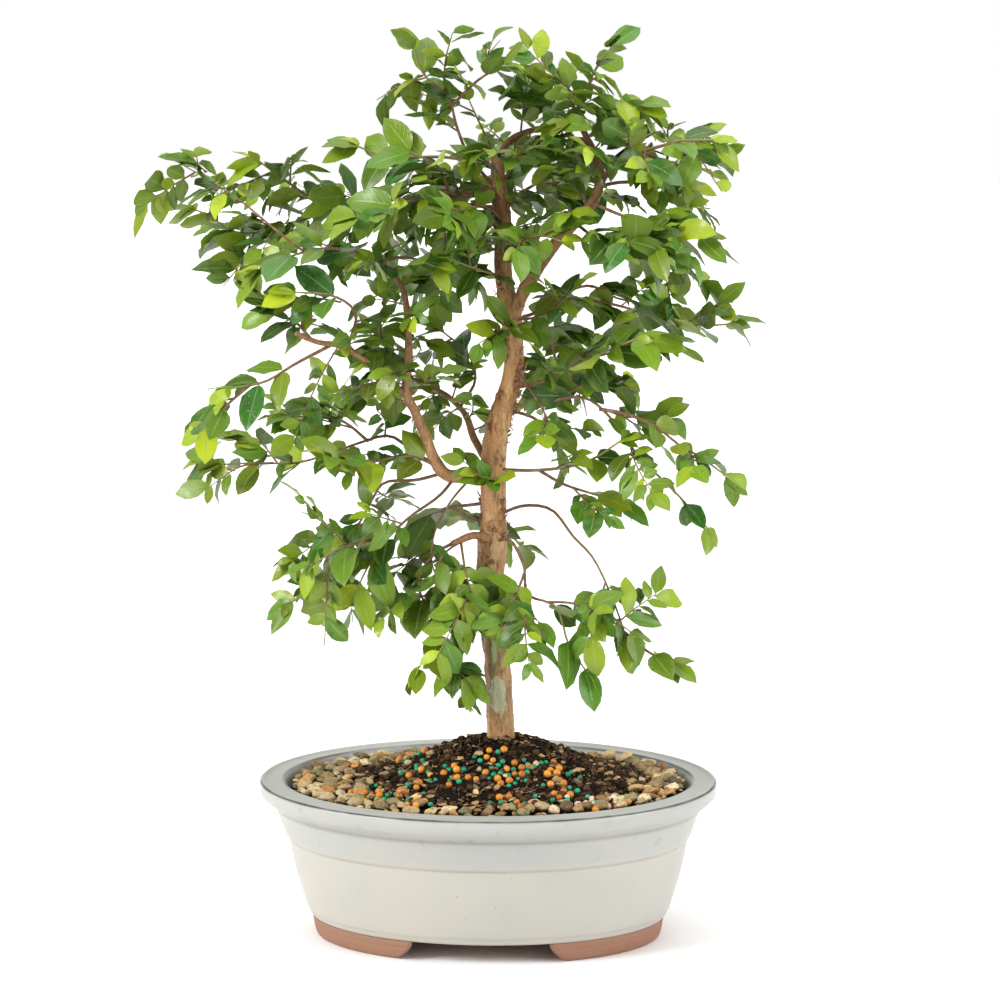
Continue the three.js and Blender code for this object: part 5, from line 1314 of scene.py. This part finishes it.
# Thin twigs that no solid shows, given as the sprays' twigs are
FINE_TWIGS = [
    (0.5, 28, [(-8, -5, 257), (-20, -14, 243), (-29, -20, 226), (-31, -23, 210), (-27, -25, 196)]),
    (0.3, 30, [(-12, -15, 222), (-22, -23, 215), (-30, -30, 205), (-27, -34, 191), (-17, -36, 180)]),
    (0.3, 32, [(-15, -16, 221), (-14, -27, 209), (-10, -33, 197), (-7, -36, 186)]),
    (0.1, 29, [(-118, 8, 263), (-130, 4, 263), (-142, 2, 258), (-153, 0, 250)]),
    (0.1, 30, [(-26, -12, 261), (-38, -20, 266), (-52, -26, 268), (-66, -30, 262), (-76, -33, 258)]),
    (0.2, 29, [(37, -8, 298), (50, -2, 306), (62, 2, 312), (74, 6, 311)]),
    (0.3, 28, [(13, -3, 318), (22, -9, 306), (31, -13, 292), (37, -15, 278)]),
    (0.6, 27, [(-100, -40, 379), (-118, -46, 393), (-135, -50, 407), (-152, -52, 418), (-166, -52, 426)]),
    (0.3, 33, [(8, 5, 394), (5, -12, 400), (-3, -26, 404), (-12, -36, 403), (-20, -44, 399)]),
    (0.3, 31, [(9, 3, 374), (14, -14, 382), (22, -26, 387), (32, -34, 388), (41, -40, 385)]),
    (0.3, 31, [(7, 5, 414), (12, -10, 424), (17, -20, 431), (24, -28, 436), (33, -34, 438)]),
    (0.5, 26, [(5, 7, 430), (0, 2, 441), (-6, -4, 451), (-10, -8, 461)]),
    (0.2, 29, [(32, -27, 187), (43, -30, 187), (56, -32, 184), (69, -32, 178), (80, -30, 170)]),
    (0.2, 29, [(61, -17, 294.5), (70, -10, 292), (80, -4, 286), (90, 0, 278)]),
    (0.2, 30, [(-40, -14, 302), (-52, -22, 307), (-64, -28, 308), (-76, -33, 304)]),
    (0.2, 29, [(13, 0, 342), (26, -8, 344), (38, -16, 350), (47, -24, 360)]),
    (0.2, 30, [(-6, 12, 396), (-22, 0, 404), (-38, -10, 410), (-52, -18, 414)]),
    (0.1, 27, [(20, -19, 203), (15, -26, 192), (19, -32, 183), (28, -35, 176)]),
    (0.2, 29, [(-31, 22, 305.5), (-44, 16, 318), (-56, 8, 328), (-66, 2, 336)]),
]
FINE_PAIR_SPACING = 12
FINE_SHOOT_SPACING = 24
FINE_TWIG_SEED = 80000
LIMB_SHOOT_SEED = 90000
TWIG_BROWN = (0.17, 0.085, 0.038, 1)
TWIG_GREEN = (0.21, 0.25, 0.055, 1)
TWIG_SKIN = (0.40, 0.27, 0.14, 1)
# Leaf colours, the first two pairs from the darkest leaf to the lightest
GROWN_LEAF = ((0.016, 0.060, 0.004, 1), (0.17, 0.28, 0.010, 1))
FRESH_LEAF = ((0.20, 0.34, 0.011, 1), (0.40, 0.51, 0.014, 1))
BLUISH_LEAF = (0.04, 0.19, 0.018, 1)
OLIVE_LEAF = (0.26, 0.26, 0.010, 1)
LEAF_BLOTCH = (0.07, 0.16, 0.03, 1)
LEAF_UNDERSIDE = (0.17, 0.24, 0.05, 1)
LEAF_VEIN = (0.25, 0.38, 0.11, 1)
LIME_DOT = (0.55, 0.6, 0.5, 1)


def direction_at(points, t):
    """The way from a point of the curve just before share t to one just after it."""
    before, after = np.maximum(t - 0.01, 0), np.minimum(t + 0.01, 1)
    return unit(along_curve(points, after) - along_curve(points, before))


def place_on(points, t):
    """The place at share t of the solid twig's straight lengths."""
    steps = step_count(points, TWIG_STEP)
    joint = np.minimum(np.floor(np.asarray(t) * steps), steps - 1)
    start, end = along_curve(points, joint / steps), along_curve(points, (joint + 1) / steps)
    return start + (end - start) * (t * steps - joint)[..., None]


def leaves_at(points, t, pair, side, number, leaf_length, attempt=0, tip=None):
    """Leaves as arrays. Each leans out from the twig by an angle, at a roll round the twig that turns
    with every pair, hangs a little, and turns its face up and out from the crown's middle."""
    tip = np.isclose(t, LAST_PAIR) if tip is None else tip
    along = direction_at(points, t)
    level = unit(np.cross(along, [0.05, -0.08, 1.0]))
    rise = np.cross(level, along)
    swing = attempt * np.where(side == 0, 0.5, -0.5) * np.where(number % 2 == 0, 1, -1)
    roll = side * np.pi + (pair % 2) * 0.7 + between(-0.45, 0.45, number, 1) + swing
    lean = between(0.7, 1.2, number, 2) - np.where(tip, 0.35, 0)
    sideways = level * np.cos(roll)[:, None] + rise * np.sin(roll)[:, None]
    direction = along * np.cos(lean)[:, None] + sideways * np.sin(lean)[:, None]
    direction[:, 2] -= between(-0.15, 0.45, number, 3) + 0.12 * attempt
    direction = unit(direction)
    root = place_on(points, t) + off_twig(direction, along)
    facing = np.stack([between(-0.5, 0.5, number, 4), between(-0.5, 0.5, number, 5),
                       between(0.45, 1.0, number, 6)], -1) + outward_from_crown(root) * 0.6
    length = leaf_length * between(0.66, 1.08, number, 7) * np.where(tip, 0.85, 1) * 0.94 ** attempt
    half_width = length * LEAF_WIDTH_SHARE * between(0.4, 0.55, number, 8)
    return as_leaves(root, direction, facing, length, half_width, between(0.12, 0.6, number, 10),
                     between(-0.2, 0.2, number, 11), number, tip * 0.45)


def off_twig(direction, along):
    """From the twig's middle line to where a leaf's stalk leaves it."""
    return unit(direction - along * (direction * along).sum(-1, keepdims=True)) * LEAF_ROOT_OFFSET


def outward_from_crown(root):
    """The level way from the crown's middle line to each leaf, turned mostly to front or back."""
    away = (root[:, :2] - CROWN_MIDDLE) * [CROWN_FLATNESS, 1]
    return unit(np.column_stack([away, np.zeros(len(root))]))


def as_leaves(root, direction, facing, length, half_width, bend, twist, number, age):
    """Leaves as named arrays, each with its face turned square to its direction."""
    facing = unit(facing - direction * (facing * direction).sum(-1, keepdims=True))
    return {"root": root, "direction": direction, "facing": facing, "length": length,
            "half_width": half_width, "bend": bend, "twist": twist, "number": number.astype(float),
            "age": age}


def leaf_tips(leaves):
    """The ends of the arcs in which the midribs bend."""
    turn, reach = leaves["bend"][:, None], (leaves["length"] / leaves["bend"])[:, None]
    forward, down = np.sin(turn), 1 - np.cos(turn)
    return leaves["root"] + leaves["direction"] * reach * forward - leaves["facing"] * reach * down


def solid_leaves(points, bare, leaf_length, seed, node_points):
    """The leaves that the solid twig bears: of the tries for each leaf, the one whose tip is found
    among the solid's own corners, or else the first."""
    pairs = step_count(points, PAIR_SPACING / (1 - bare))
    pair, side = np.repeat(np.arange(pairs), 2), np.tile([0, 1], pairs)
    t = LAST_PAIR - (LAST_PAIR - bare) * (pairs - 1 - pair) / pairs
    number = seed + 2 * pair + side
    tries = [leaves_at(points, t, pair, side, number, leaf_length, attempt) for attempt in range(LEAF_TRIES)]
    gaps = np.stack([
        np.linalg.norm(leaf_tips(one)[:, None] - node_points[None], axis=-1).min(1) for one in tries
    ])
    chosen = np.where(gaps.min(0) < LEAF_THICKNESS, gaps.argmin(0), 0)
    return {key: np.stack([one[key] for one in tries])[chosen, np.arange(len(t))] for key in tries[0]}


def more_leaves(points, first, count, leaf_length, seed, age=0.0):
    """Pairs of smaller leaves from a share of the twig's length to its tip. They lie like the parts of
    a feather in one plane, which leans by the twig's own roll, and each strays a little from it."""
    pair, side = np.repeat(np.arange(count), 2), np.tile([0, 1], count)
    number = seed + 2 * pair + side
    order = pair + 0.5 + between(-0.15, 0.15, number, 19)
    t = np.minimum(first + (0.99 - first) * order / (count - 0.5), 1)
    tip = pair == count - 1
    along = direction_at(points, t)
    level = unit(np.cross(along, [0.05, -0.08, 1.0]))
    rise = np.cross(level, along)
    plane = between(-0.9, 0.9, seed, 20) + between(-0.35, 0.35, number, 1)
    across = level * np.cos(plane)[:, None] + rise * np.sin(plane)[:, None]
    upward = rise * np.cos(plane)[:, None] - level * np.sin(plane)[:, None]
    lean = between(0.65, 1.25, number, 2) - np.where(tip, 0.4, 0)
    direction = along * np.cos(lean)[:, None] + across * (np.sin(lean) * np.where(side == 0, 1, -1))[:, None]
    direction[:, 2] -= between(-0.25, 0.35, number, 3)
    direction = unit(direction)
    root = place_on(points, t) + off_twig(direction, along)
    stray = np.stack([between(-0.55, 0.55, number, channel) for channel in (4, 5, 6)], -1)
    facing = upward + stray + outward_from_crown(root) * 0.25
    length = leaf_length * (0.38 + 0.5 * chance(number, 15) ** 1.4) * np.where(tip, 0.9, 1)
    half_width = length * LEAF_WIDTH_SHARE * between(0.36, 0.6, number, 16)
    return as_leaves(root, direction, facing, length, half_width, between(0.1, 1.0, number, 17),
                     between(-0.6, 0.6, number, 18), number, age + tip * 0.45)


def blades(leaves, grid):
    """Blades of leaves as points, faces and values. Past the stalk, half the width at share v of the
    length is v ** 0.6 * (1 - v) ** 0.85, scaled to 1 at its widest and drawn in before the tip. The
    midrib bends in an arc, and the blade twists evenly along it. The upper and the lower face meet at
    the edge, and both halves are folded up from the midrib."""
    row_shares, column_shares = grid
    rows, columns = row_shares[:, None, None], column_shares[None, :, None]
    share = np.clip((rows - PETIOLE) / (1 - PETIOLE), 0, 1)
    drawn_in = 1 - 0.3 * np.clip(1 - np.abs(rows - 0.94) / 0.1, 0, 1)
    width = np.maximum(2.67 * share ** 0.6 * (1 - share) ** 0.85 * drawn_in, 0.05 * (rows < 0.9))
    root, direction, facing = (leaves[key][:, None, None] for key in ("root", "direction", "facing"))
    length, half_width, bend, twist, number = (
        leaves[key][:, None, None, None] for key in ("length", "half_width", "bend", "twist", "number"))
    side = np.cross(leaves["direction"], leaves["facing"])[:, None, None]
    turn = bend * rows
    middle = root + direction * length * np.sin(turn) / bend - facing * length * (1 - np.cos(turn)) / bend
    normal = facing * np.cos(turn) + direction * np.sin(turn)
    side, normal = (side * np.cos(twist * rows) + normal * np.sin(twist * rows),
                    normal * np.cos(twist * rows) - side * np.sin(twist * rows))
    fold = between(0.02, 0.34, number, 9)
    width = width * (1 + 0.07 * np.sin(rows * between(4, 8, number, 13) + number * 2))
    across = columns * width * half_width
    ripple = np.sin(rows * between(8, 15, number, 14) + number) * columns ** 2 * length * 0.026
    sheet = middle + side * across * np.cos(fold) + normal * (np.abs(across) * np.sin(fold) + ripple * width)
    at_end = (rows == 0) | (rows == 1)
    thick = np.where(at_end, 0, BLADE_THICKNESS / 2 * (1 - columns ** 2) ** 0.5 + 0.12 * (columns == 0))
    points = np.stack([sheet + normal * thick, sheet - normal * thick], 1)
    count, corners = len(leaves["length"]), rows.size * columns.size
    one_side = grid_faces(rows.size, columns.size)
    both = np.concatenate([one_side, one_side[:, ::-1] + corners])
    faces = (both[None] + (np.arange(count) * 2 * corners)[:, None, None]).reshape(-1, 4)
    whole = np.ones((count, 2, rows.size, columns.size))
    values = {
        "across": whole * column_shares,
        "along": whole * row_shares[:, None],
        "age": whole * leaves["age"][:, None, None, None],
        "tone": whole * chance(leaves["number"], 12)[:, None, None, None],
        "under": whole * np.array([0, 1])[:, None, None],
    }
    return points.reshape(-1, 3), faces, {key: value.ravel() for key, value in values.items()}


def shoots_on(points, first, last, count, seed, spread=1.0):
    """Thin shoots that leave a twig or a limb by turns all round it, lean forward along it, and sag
    by the square of the distance from their start."""
    shoots = []
    for number in range(count):
        key = seed + number
        t = np.array([first + (last - first) * (number + between(0.2, 0.8, key, 50)) / count])
        along = direction_at(points, t)[0]
        roll = number * 2.4 + between(-0.5, 0.5, key, 51)
        level = unit(np.cross(along, [0.05, 0.02, 1.0]))
        heading = unit(along * between(0.35, 0.85, key, 54)
                       + (level * np.cos(roll) + np.cross(level, along) * np.sin(roll)) * spread)
        reach = between(*SHOOT_LENGTHS, key, 52)
        share = np.linspace(0, 1, 4)[:, None]
        sag = np.array([0, 0, -1]) * share ** 2 * reach * between(-0.12, 0.42, key, 53)
        sway = np.cross(heading, [0, 0, 1.0]) * np.sin(share * 3) * reach * between(-0.15, 0.15, key, 55)
        shoots.append(place_on(points, t)[0] + heading * share * reach + sag + sway)
    return shoots


def twig_tube(points, thick, thin):
    """A tube on the smooth curve through the solid twig's joints, which thins evenly to its tip."""
    joints = joints_of(points, TWIG_STEP)
    rings = max(6, 3 * len(joints))
    t = np.linspace(0, 1, rings)
    path = along_curve(joints, t)
    radii = np.repeat((thick + (thin - thick) * t)[:, None], TWIG_SIDES, 1)
    tube, faces = bent_tubes(path[None], radii[None], TWIG_SIDES)
    age = np.repeat(np.concatenate([t[:1], t, t[-1:]]), TWIG_SIDES)
    flat = np.zeros(len(tube))
    return tube, faces, {"across": flat, "along": flat, "age": age, "tone": flat, "under": flat}


def leafy_shoots(shoots, leaf_length, seed, low, high):
    """The stems and leaves of those shoots whose tips stay between the lowest and highest corner."""
    stems, leaf_sets = [], []
    for order, shoot in enumerate(shoots):
        if (shoot < low).any() or (shoot > high).any():
            continue
        pairs = 2 + int(np.linalg.norm(shoot[-1] - shoot[0]) / SHOOT_PAIR_SPACING)
        leaf_sets.append(more_leaves(shoot, 0.15, pairs, leaf_length, seed + 37 * order, 0.1))
        stems.append(twig_tube(shoot, *SHOOT_RADII))
    return stems, leaf_sets


def add_foliage(name, stems, own_sets, small_sets, low, high):
    """One piece from tubes and sets of leaves, without the leaves whose tips lie outside the box."""
    parts, count = list(stems), sum(len(faces) for _, faces, _ in stems)
    for leaf_sets, grid in ((own_sets, BLADE_GRID), (small_sets, SMALL_BLADE_GRID)):
        if leaf_sets:
            leaves = {key: np.concatenate([one[key] for one in leaf_sets]) for key in leaf_sets[0]}
            tips = leaf_tips(leaves)
            inside = ((tips > low) & (tips < high)).all(1)
            parts.append(blades({key: value[inside] for key, value in leaves.items()}, grid))
    points, faces, values = joined(parts)
    finish_numbers = np.repeat([0, 1], [count, len(faces) - count])
    piece = add_piece(name, points, faces, [TWIG_FINISH, LEAF_FINISH], finish_numbers=finish_numbers,
                      values=values, welded=True, crease=LEAF_CREASE)
    return piece


def make_spray(name, twigs, index):
    """A spray's twigs and their solid's own leaves, with smaller pairs between them and on shoots."""
    node_points = np.array([v.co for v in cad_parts[name].data.vertices]) / MM - SOLE_MIDDLE
    low = np.maximum(node_points.min(0) - SPRAY_MARGIN, CROWN_LOW)
    high = np.minimum(node_points.max(0) + SPRAY_MARGIN, CROWN_HIGH)
    curves = [from_front(rows) for _, _, rows in twigs]
    for curve in curves[1:]:
        places = place_on(curves[0], np.linspace(0, 1, 101))
        curve[0] = places[np.linalg.norm(places - curve[0], axis=1).argmin()]
    stems, own_sets, small_sets = [], [], []
    for number, ((bare, leaf_length, _), curve) in enumerate(zip(twigs, curves)):
        seed = 1000 * index + 100 * number
        length = np.linalg.norm(np.diff(curve, axis=0), axis=1).sum() * FULLNESS.get(name, 1)
        own_sets.append(solid_leaves(curve, bare, leaf_length, seed, node_points))
        pairs = 1 + int(length * (1 - bare) / SMALL_PAIR_SPACING)
        small_sets.append(more_leaves(curve, bare * 0.9, pairs, leaf_length, seed + 50))
        stems.append(twig_tube(curve, *TWIG_RADII))
        count = 1 + int(length * (1 - bare * 0.6) / SHOOT_SPACING)
        shoots = shoots_on(curve, bare * 0.6, LAST_SHOOT, count, seed + 700)
        more_stems, more_sets = leafy_shoots(shoots, leaf_length, seed + 5000, low, high)
        stems += more_stems
        small_sets += more_sets
    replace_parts(add_foliage(name.replace("spray", "foliage"), stems, own_sets, small_sets, low, high), name)


def make_fine_twigs():
    """Thin twigs with leaves and shoots of their own, one piece each."""
    for number, (bare, leaf_length, rows) in enumerate(FINE_TWIGS):
        curve, seed = from_front(rows), FINE_TWIG_SEED + 500 * number
        length = np.linalg.norm(np.diff(curve, axis=0), axis=1).sum()
        pairs = 1 + int(length * (1 - bare) / FINE_PAIR_SPACING)
        leaf_sets = [more_leaves(curve, bare, pairs, leaf_length, seed)]
        shoots = shoots_on(curve, bare, LAST_SHOOT, int(length / FINE_SHOOT_SPACING), seed + 100)
        stems, shoot_sets = leafy_shoots(shoots, leaf_length, seed + 200, CROWN_LOW, CROWN_HIGH)
        add_foliage(f"fine_twig_{number + 1}", [twig_tube(curve, *FINE_TWIG_RADII), *stems], [],
                    leaf_sets + shoot_sets, CROWN_LOW, CROWN_HIGH)


def make_limb_shoots():
    """Leafy shoots straight from the limbs, which fill the crown between the sprays."""
    for number, (name, first, last, count, leaf_length) in enumerate(SHOOTS_ON_LIMBS):
        rows = TRUNK if name == "trunk" else LIMBS[name]
        seed = LIMB_SHOOT_SEED + 1000 * number
        joints = joints_of(from_front(rows), LIMB_STEP)
        shoots = shoots_on(joints, first, last, count, seed, LIMB_SHOOT_SPREAD)
        stems, leaf_sets = leafy_shoots(shoots, leaf_length, seed + 300, CROWN_LOW, CROWN_HIGH)
        add_foliage("shoots_on_" + name, stems, [], leaf_sets, CROWN_LOW, CROWN_HIGH)


def twig_finish():
    """Brown twigs, green towards their tips, with peeling skin."""
    material, paint = new_finish("twig")
    place = object_place(paint)
    colour = paint.mix(TWIG_BROWN, TWIG_GREEN, attribute(paint, "age").step(0.5, 1.0) * 0.8)
    colour = paint.mix(colour, TWIG_SKIN, noise(paint, place, 0.3, 3.0).step(0.45, 0.7) * 0.5)
    coat_with(paint, {"Base Color": colour, "Roughness": 0.65})
    return material


def leaf_finish():
    """Leaves dark when grown and yellow-green when young, in a few kinds of green, with a pale midrib,
    faint veins and, on a few of them, dots of dried lime."""
    material, paint = new_finish("leaf")
    place = object_place(paint)
    across, along = attribute(paint, "across"), attribute(paint, "along")
    age, tone, under = attribute(paint, "age"), attribute(paint, "tone"), attribute(paint, "under")
    grown = paint.mix(*GROWN_LEAF, tone.step(0.0, 0.9))
    fresh = paint.mix(*FRESH_LEAF, tone)
    colour = paint.mix(grown, fresh, age + tone.step(0.82, 0.97) * 0.6)
    kind = paint.math("FRACT", tone * 9)
    colour = paint.mix(colour, BLUISH_LEAF, kind.step(0.45, 0.05) * 0.55)
    colour = paint.mix(colour, OLIVE_LEAF, kind.step(0.7, 1.0) * 0.4)
    blotches = noise(paint, place, 0.09, 3.0)
    colour = paint.mix(colour, LEAF_BLOTCH, blotches.step(0.5, 0.75) * 0.3)
    colour = paint.mix(colour, LEAF_UNDERSIDE, under * 0.5)
    midrib = abs(across).step(0.09, 0.02) * along.step(1.0, 0.6)
    veins = paint.math("SINE", (along - abs(across) * 0.3) * 48).step(0.8, 1.0)
    colour = paint.mix(colour, LEAF_VEIN, midrib * 0.5 + veins * 0.05)
    lime = dots(paint, place, 0.55).step(0.2, 0.12)
    limed = tone.step(0.12, 0.1) * noise(paint, place, 0.13, 2.0).step(0.5, 0.62)
    colour = paint.mix(colour, LIME_DOT, lime * limed * 0.7)
    normal = bumps(paint, 0.3, 0.3, veins * -0.35 - midrib * 0.7)
    rough = under * 0.2 + blotches * 0.1 + 0.22
    coat_with(paint, {"Base Color": colour, "Roughness": rough, "Normal": normal, "Specular IOR Level": 0.35})
    return material


TWIG_FINISH, LEAF_FINISH = twig_finish(), leaf_finish()
for spray_number, (spray_name, spray_twigs) in enumerate(SPRAYS.items()):
    make_spray(spray_name, spray_twigs, spray_number)
make_fine_twigs()
make_limb_shoots()


# The studio: a pale floor, a low bright backdrop all round, soft lights at the left, the right and
# above, and the camera where the photograph was taken from.
CAMERA_AIM = np.array([6.7, 0.0, 243.5])
CAMERA_LENS = 116.2
LIGHTS_AIM = (0, 0, 250)
# Each light's place in millimetres, how many degrees wide it looks, and its strength
LIGHTS = {
    "left": ((-1700, -1000, 1500), 25, 2.7),
    "right": ((1800, -700, 1100), 40, 1.9),
    "top": ((100, 300, 1800), 60, 1.3),
}
# In metres
FLOOR_REACH = 20
BACKDROP_RADIUS = 9
BACKDROP_HEIGHT = 1.6
BACKDROP_SIDES = 64


def in_metres(place):
    """A place in millimetres from the sole's middle, as Blender takes it."""
    return Vector((np.asarray(place) + SOLE_MIDDLE) * MM)


def turn_towards(thing, aim):
    thing.rotation_euler = (in_metres(aim) - thing.location).to_track_quat("-Z", "Y").to_euler()


def add_light(name, place, softness, strength):
    """A far light as wide as a softbox: its softness is the angle over which it spreads."""
    data = bpy.data.lights.new(name, "SUN")
    data.angle = np.radians(softness)
    data.energy = strength
    light = bpy.data.objects.new(name, data)
    light.location = in_metres(place)
    turn_towards(light, LIGHTS_AIM)
    bpy.context.scene.collection.objects.link(light)


def add_stage(name, points, faces, material):
    """A flat sheet or a ring that belongs to the studio, from points in metres."""
    mesh = bpy.data.meshes.new(name)
    mesh.from_pydata(points, [], faces)
    mesh.materials.append(material)
    stage = bpy.data.objects.new(name, mesh)
    bpy.context.scene.collection.objects.link(stage)


def make_studio():
    material, paint = new_finish("floor")
    coat_with(paint, {"Base Color": (0.98, 0.98, 0.98, 1), "Roughness": 0.9, "Specular IOR Level": 0.0})
    corners = [(x * FLOOR_REACH, y * FLOOR_REACH, 0) for x, y in ((-1, -1), (1, -1), (1, 1), (-1, 1))]
    add_stage("floor", corners, [(0, 1, 2, 3)], material)
    material, paint = new_finish("backdrop")
    paint.node("OutputMaterial", {}, {"Surface": paint.node("Emission", {}, {"Strength": 1.0})})
    turn = np.arange(BACKDROP_SIDES) * 2 * np.pi / BACKDROP_SIDES
    ring = np.stack([np.cos(turn), np.sin(turn), 0 * turn], -1) * BACKDROP_RADIUS
    points = np.concatenate([ring, ring + [0, 0, BACKDROP_HEIGHT]])
    add_stage("backdrop", points.tolist(), grid_faces(2, BACKDROP_SIDES, True).tolist(), material)
    for name, (place, softness, strength) in LIGHTS.items():
        add_light(name, place, softness, strength)
    world = bpy.data.worlds.new("studio")
    world.use_nodes = True
    world.node_tree.nodes["Background"].inputs["Color"].default_value = (1, 1, 1, 1)
    world.node_tree.nodes["Background"].inputs["Strength"].default_value = 0.5
    bpy.context.scene.world = world
    bpy.context.scene.view_settings.view_transform = "Standard"
    camera = bpy.data.objects.new("camera", bpy.data.cameras.new("camera"))
    camera.data.lens = CAMERA_LENS
    camera.data.sensor_width = 36
    camera.location = in_metres(VIEWPOINT)
    turn_towards(camera, CAMERA_AIM)
    bpy.context.scene.collection.objects.link(camera)
    bpy.context.scene.camera = camera


make_studio()
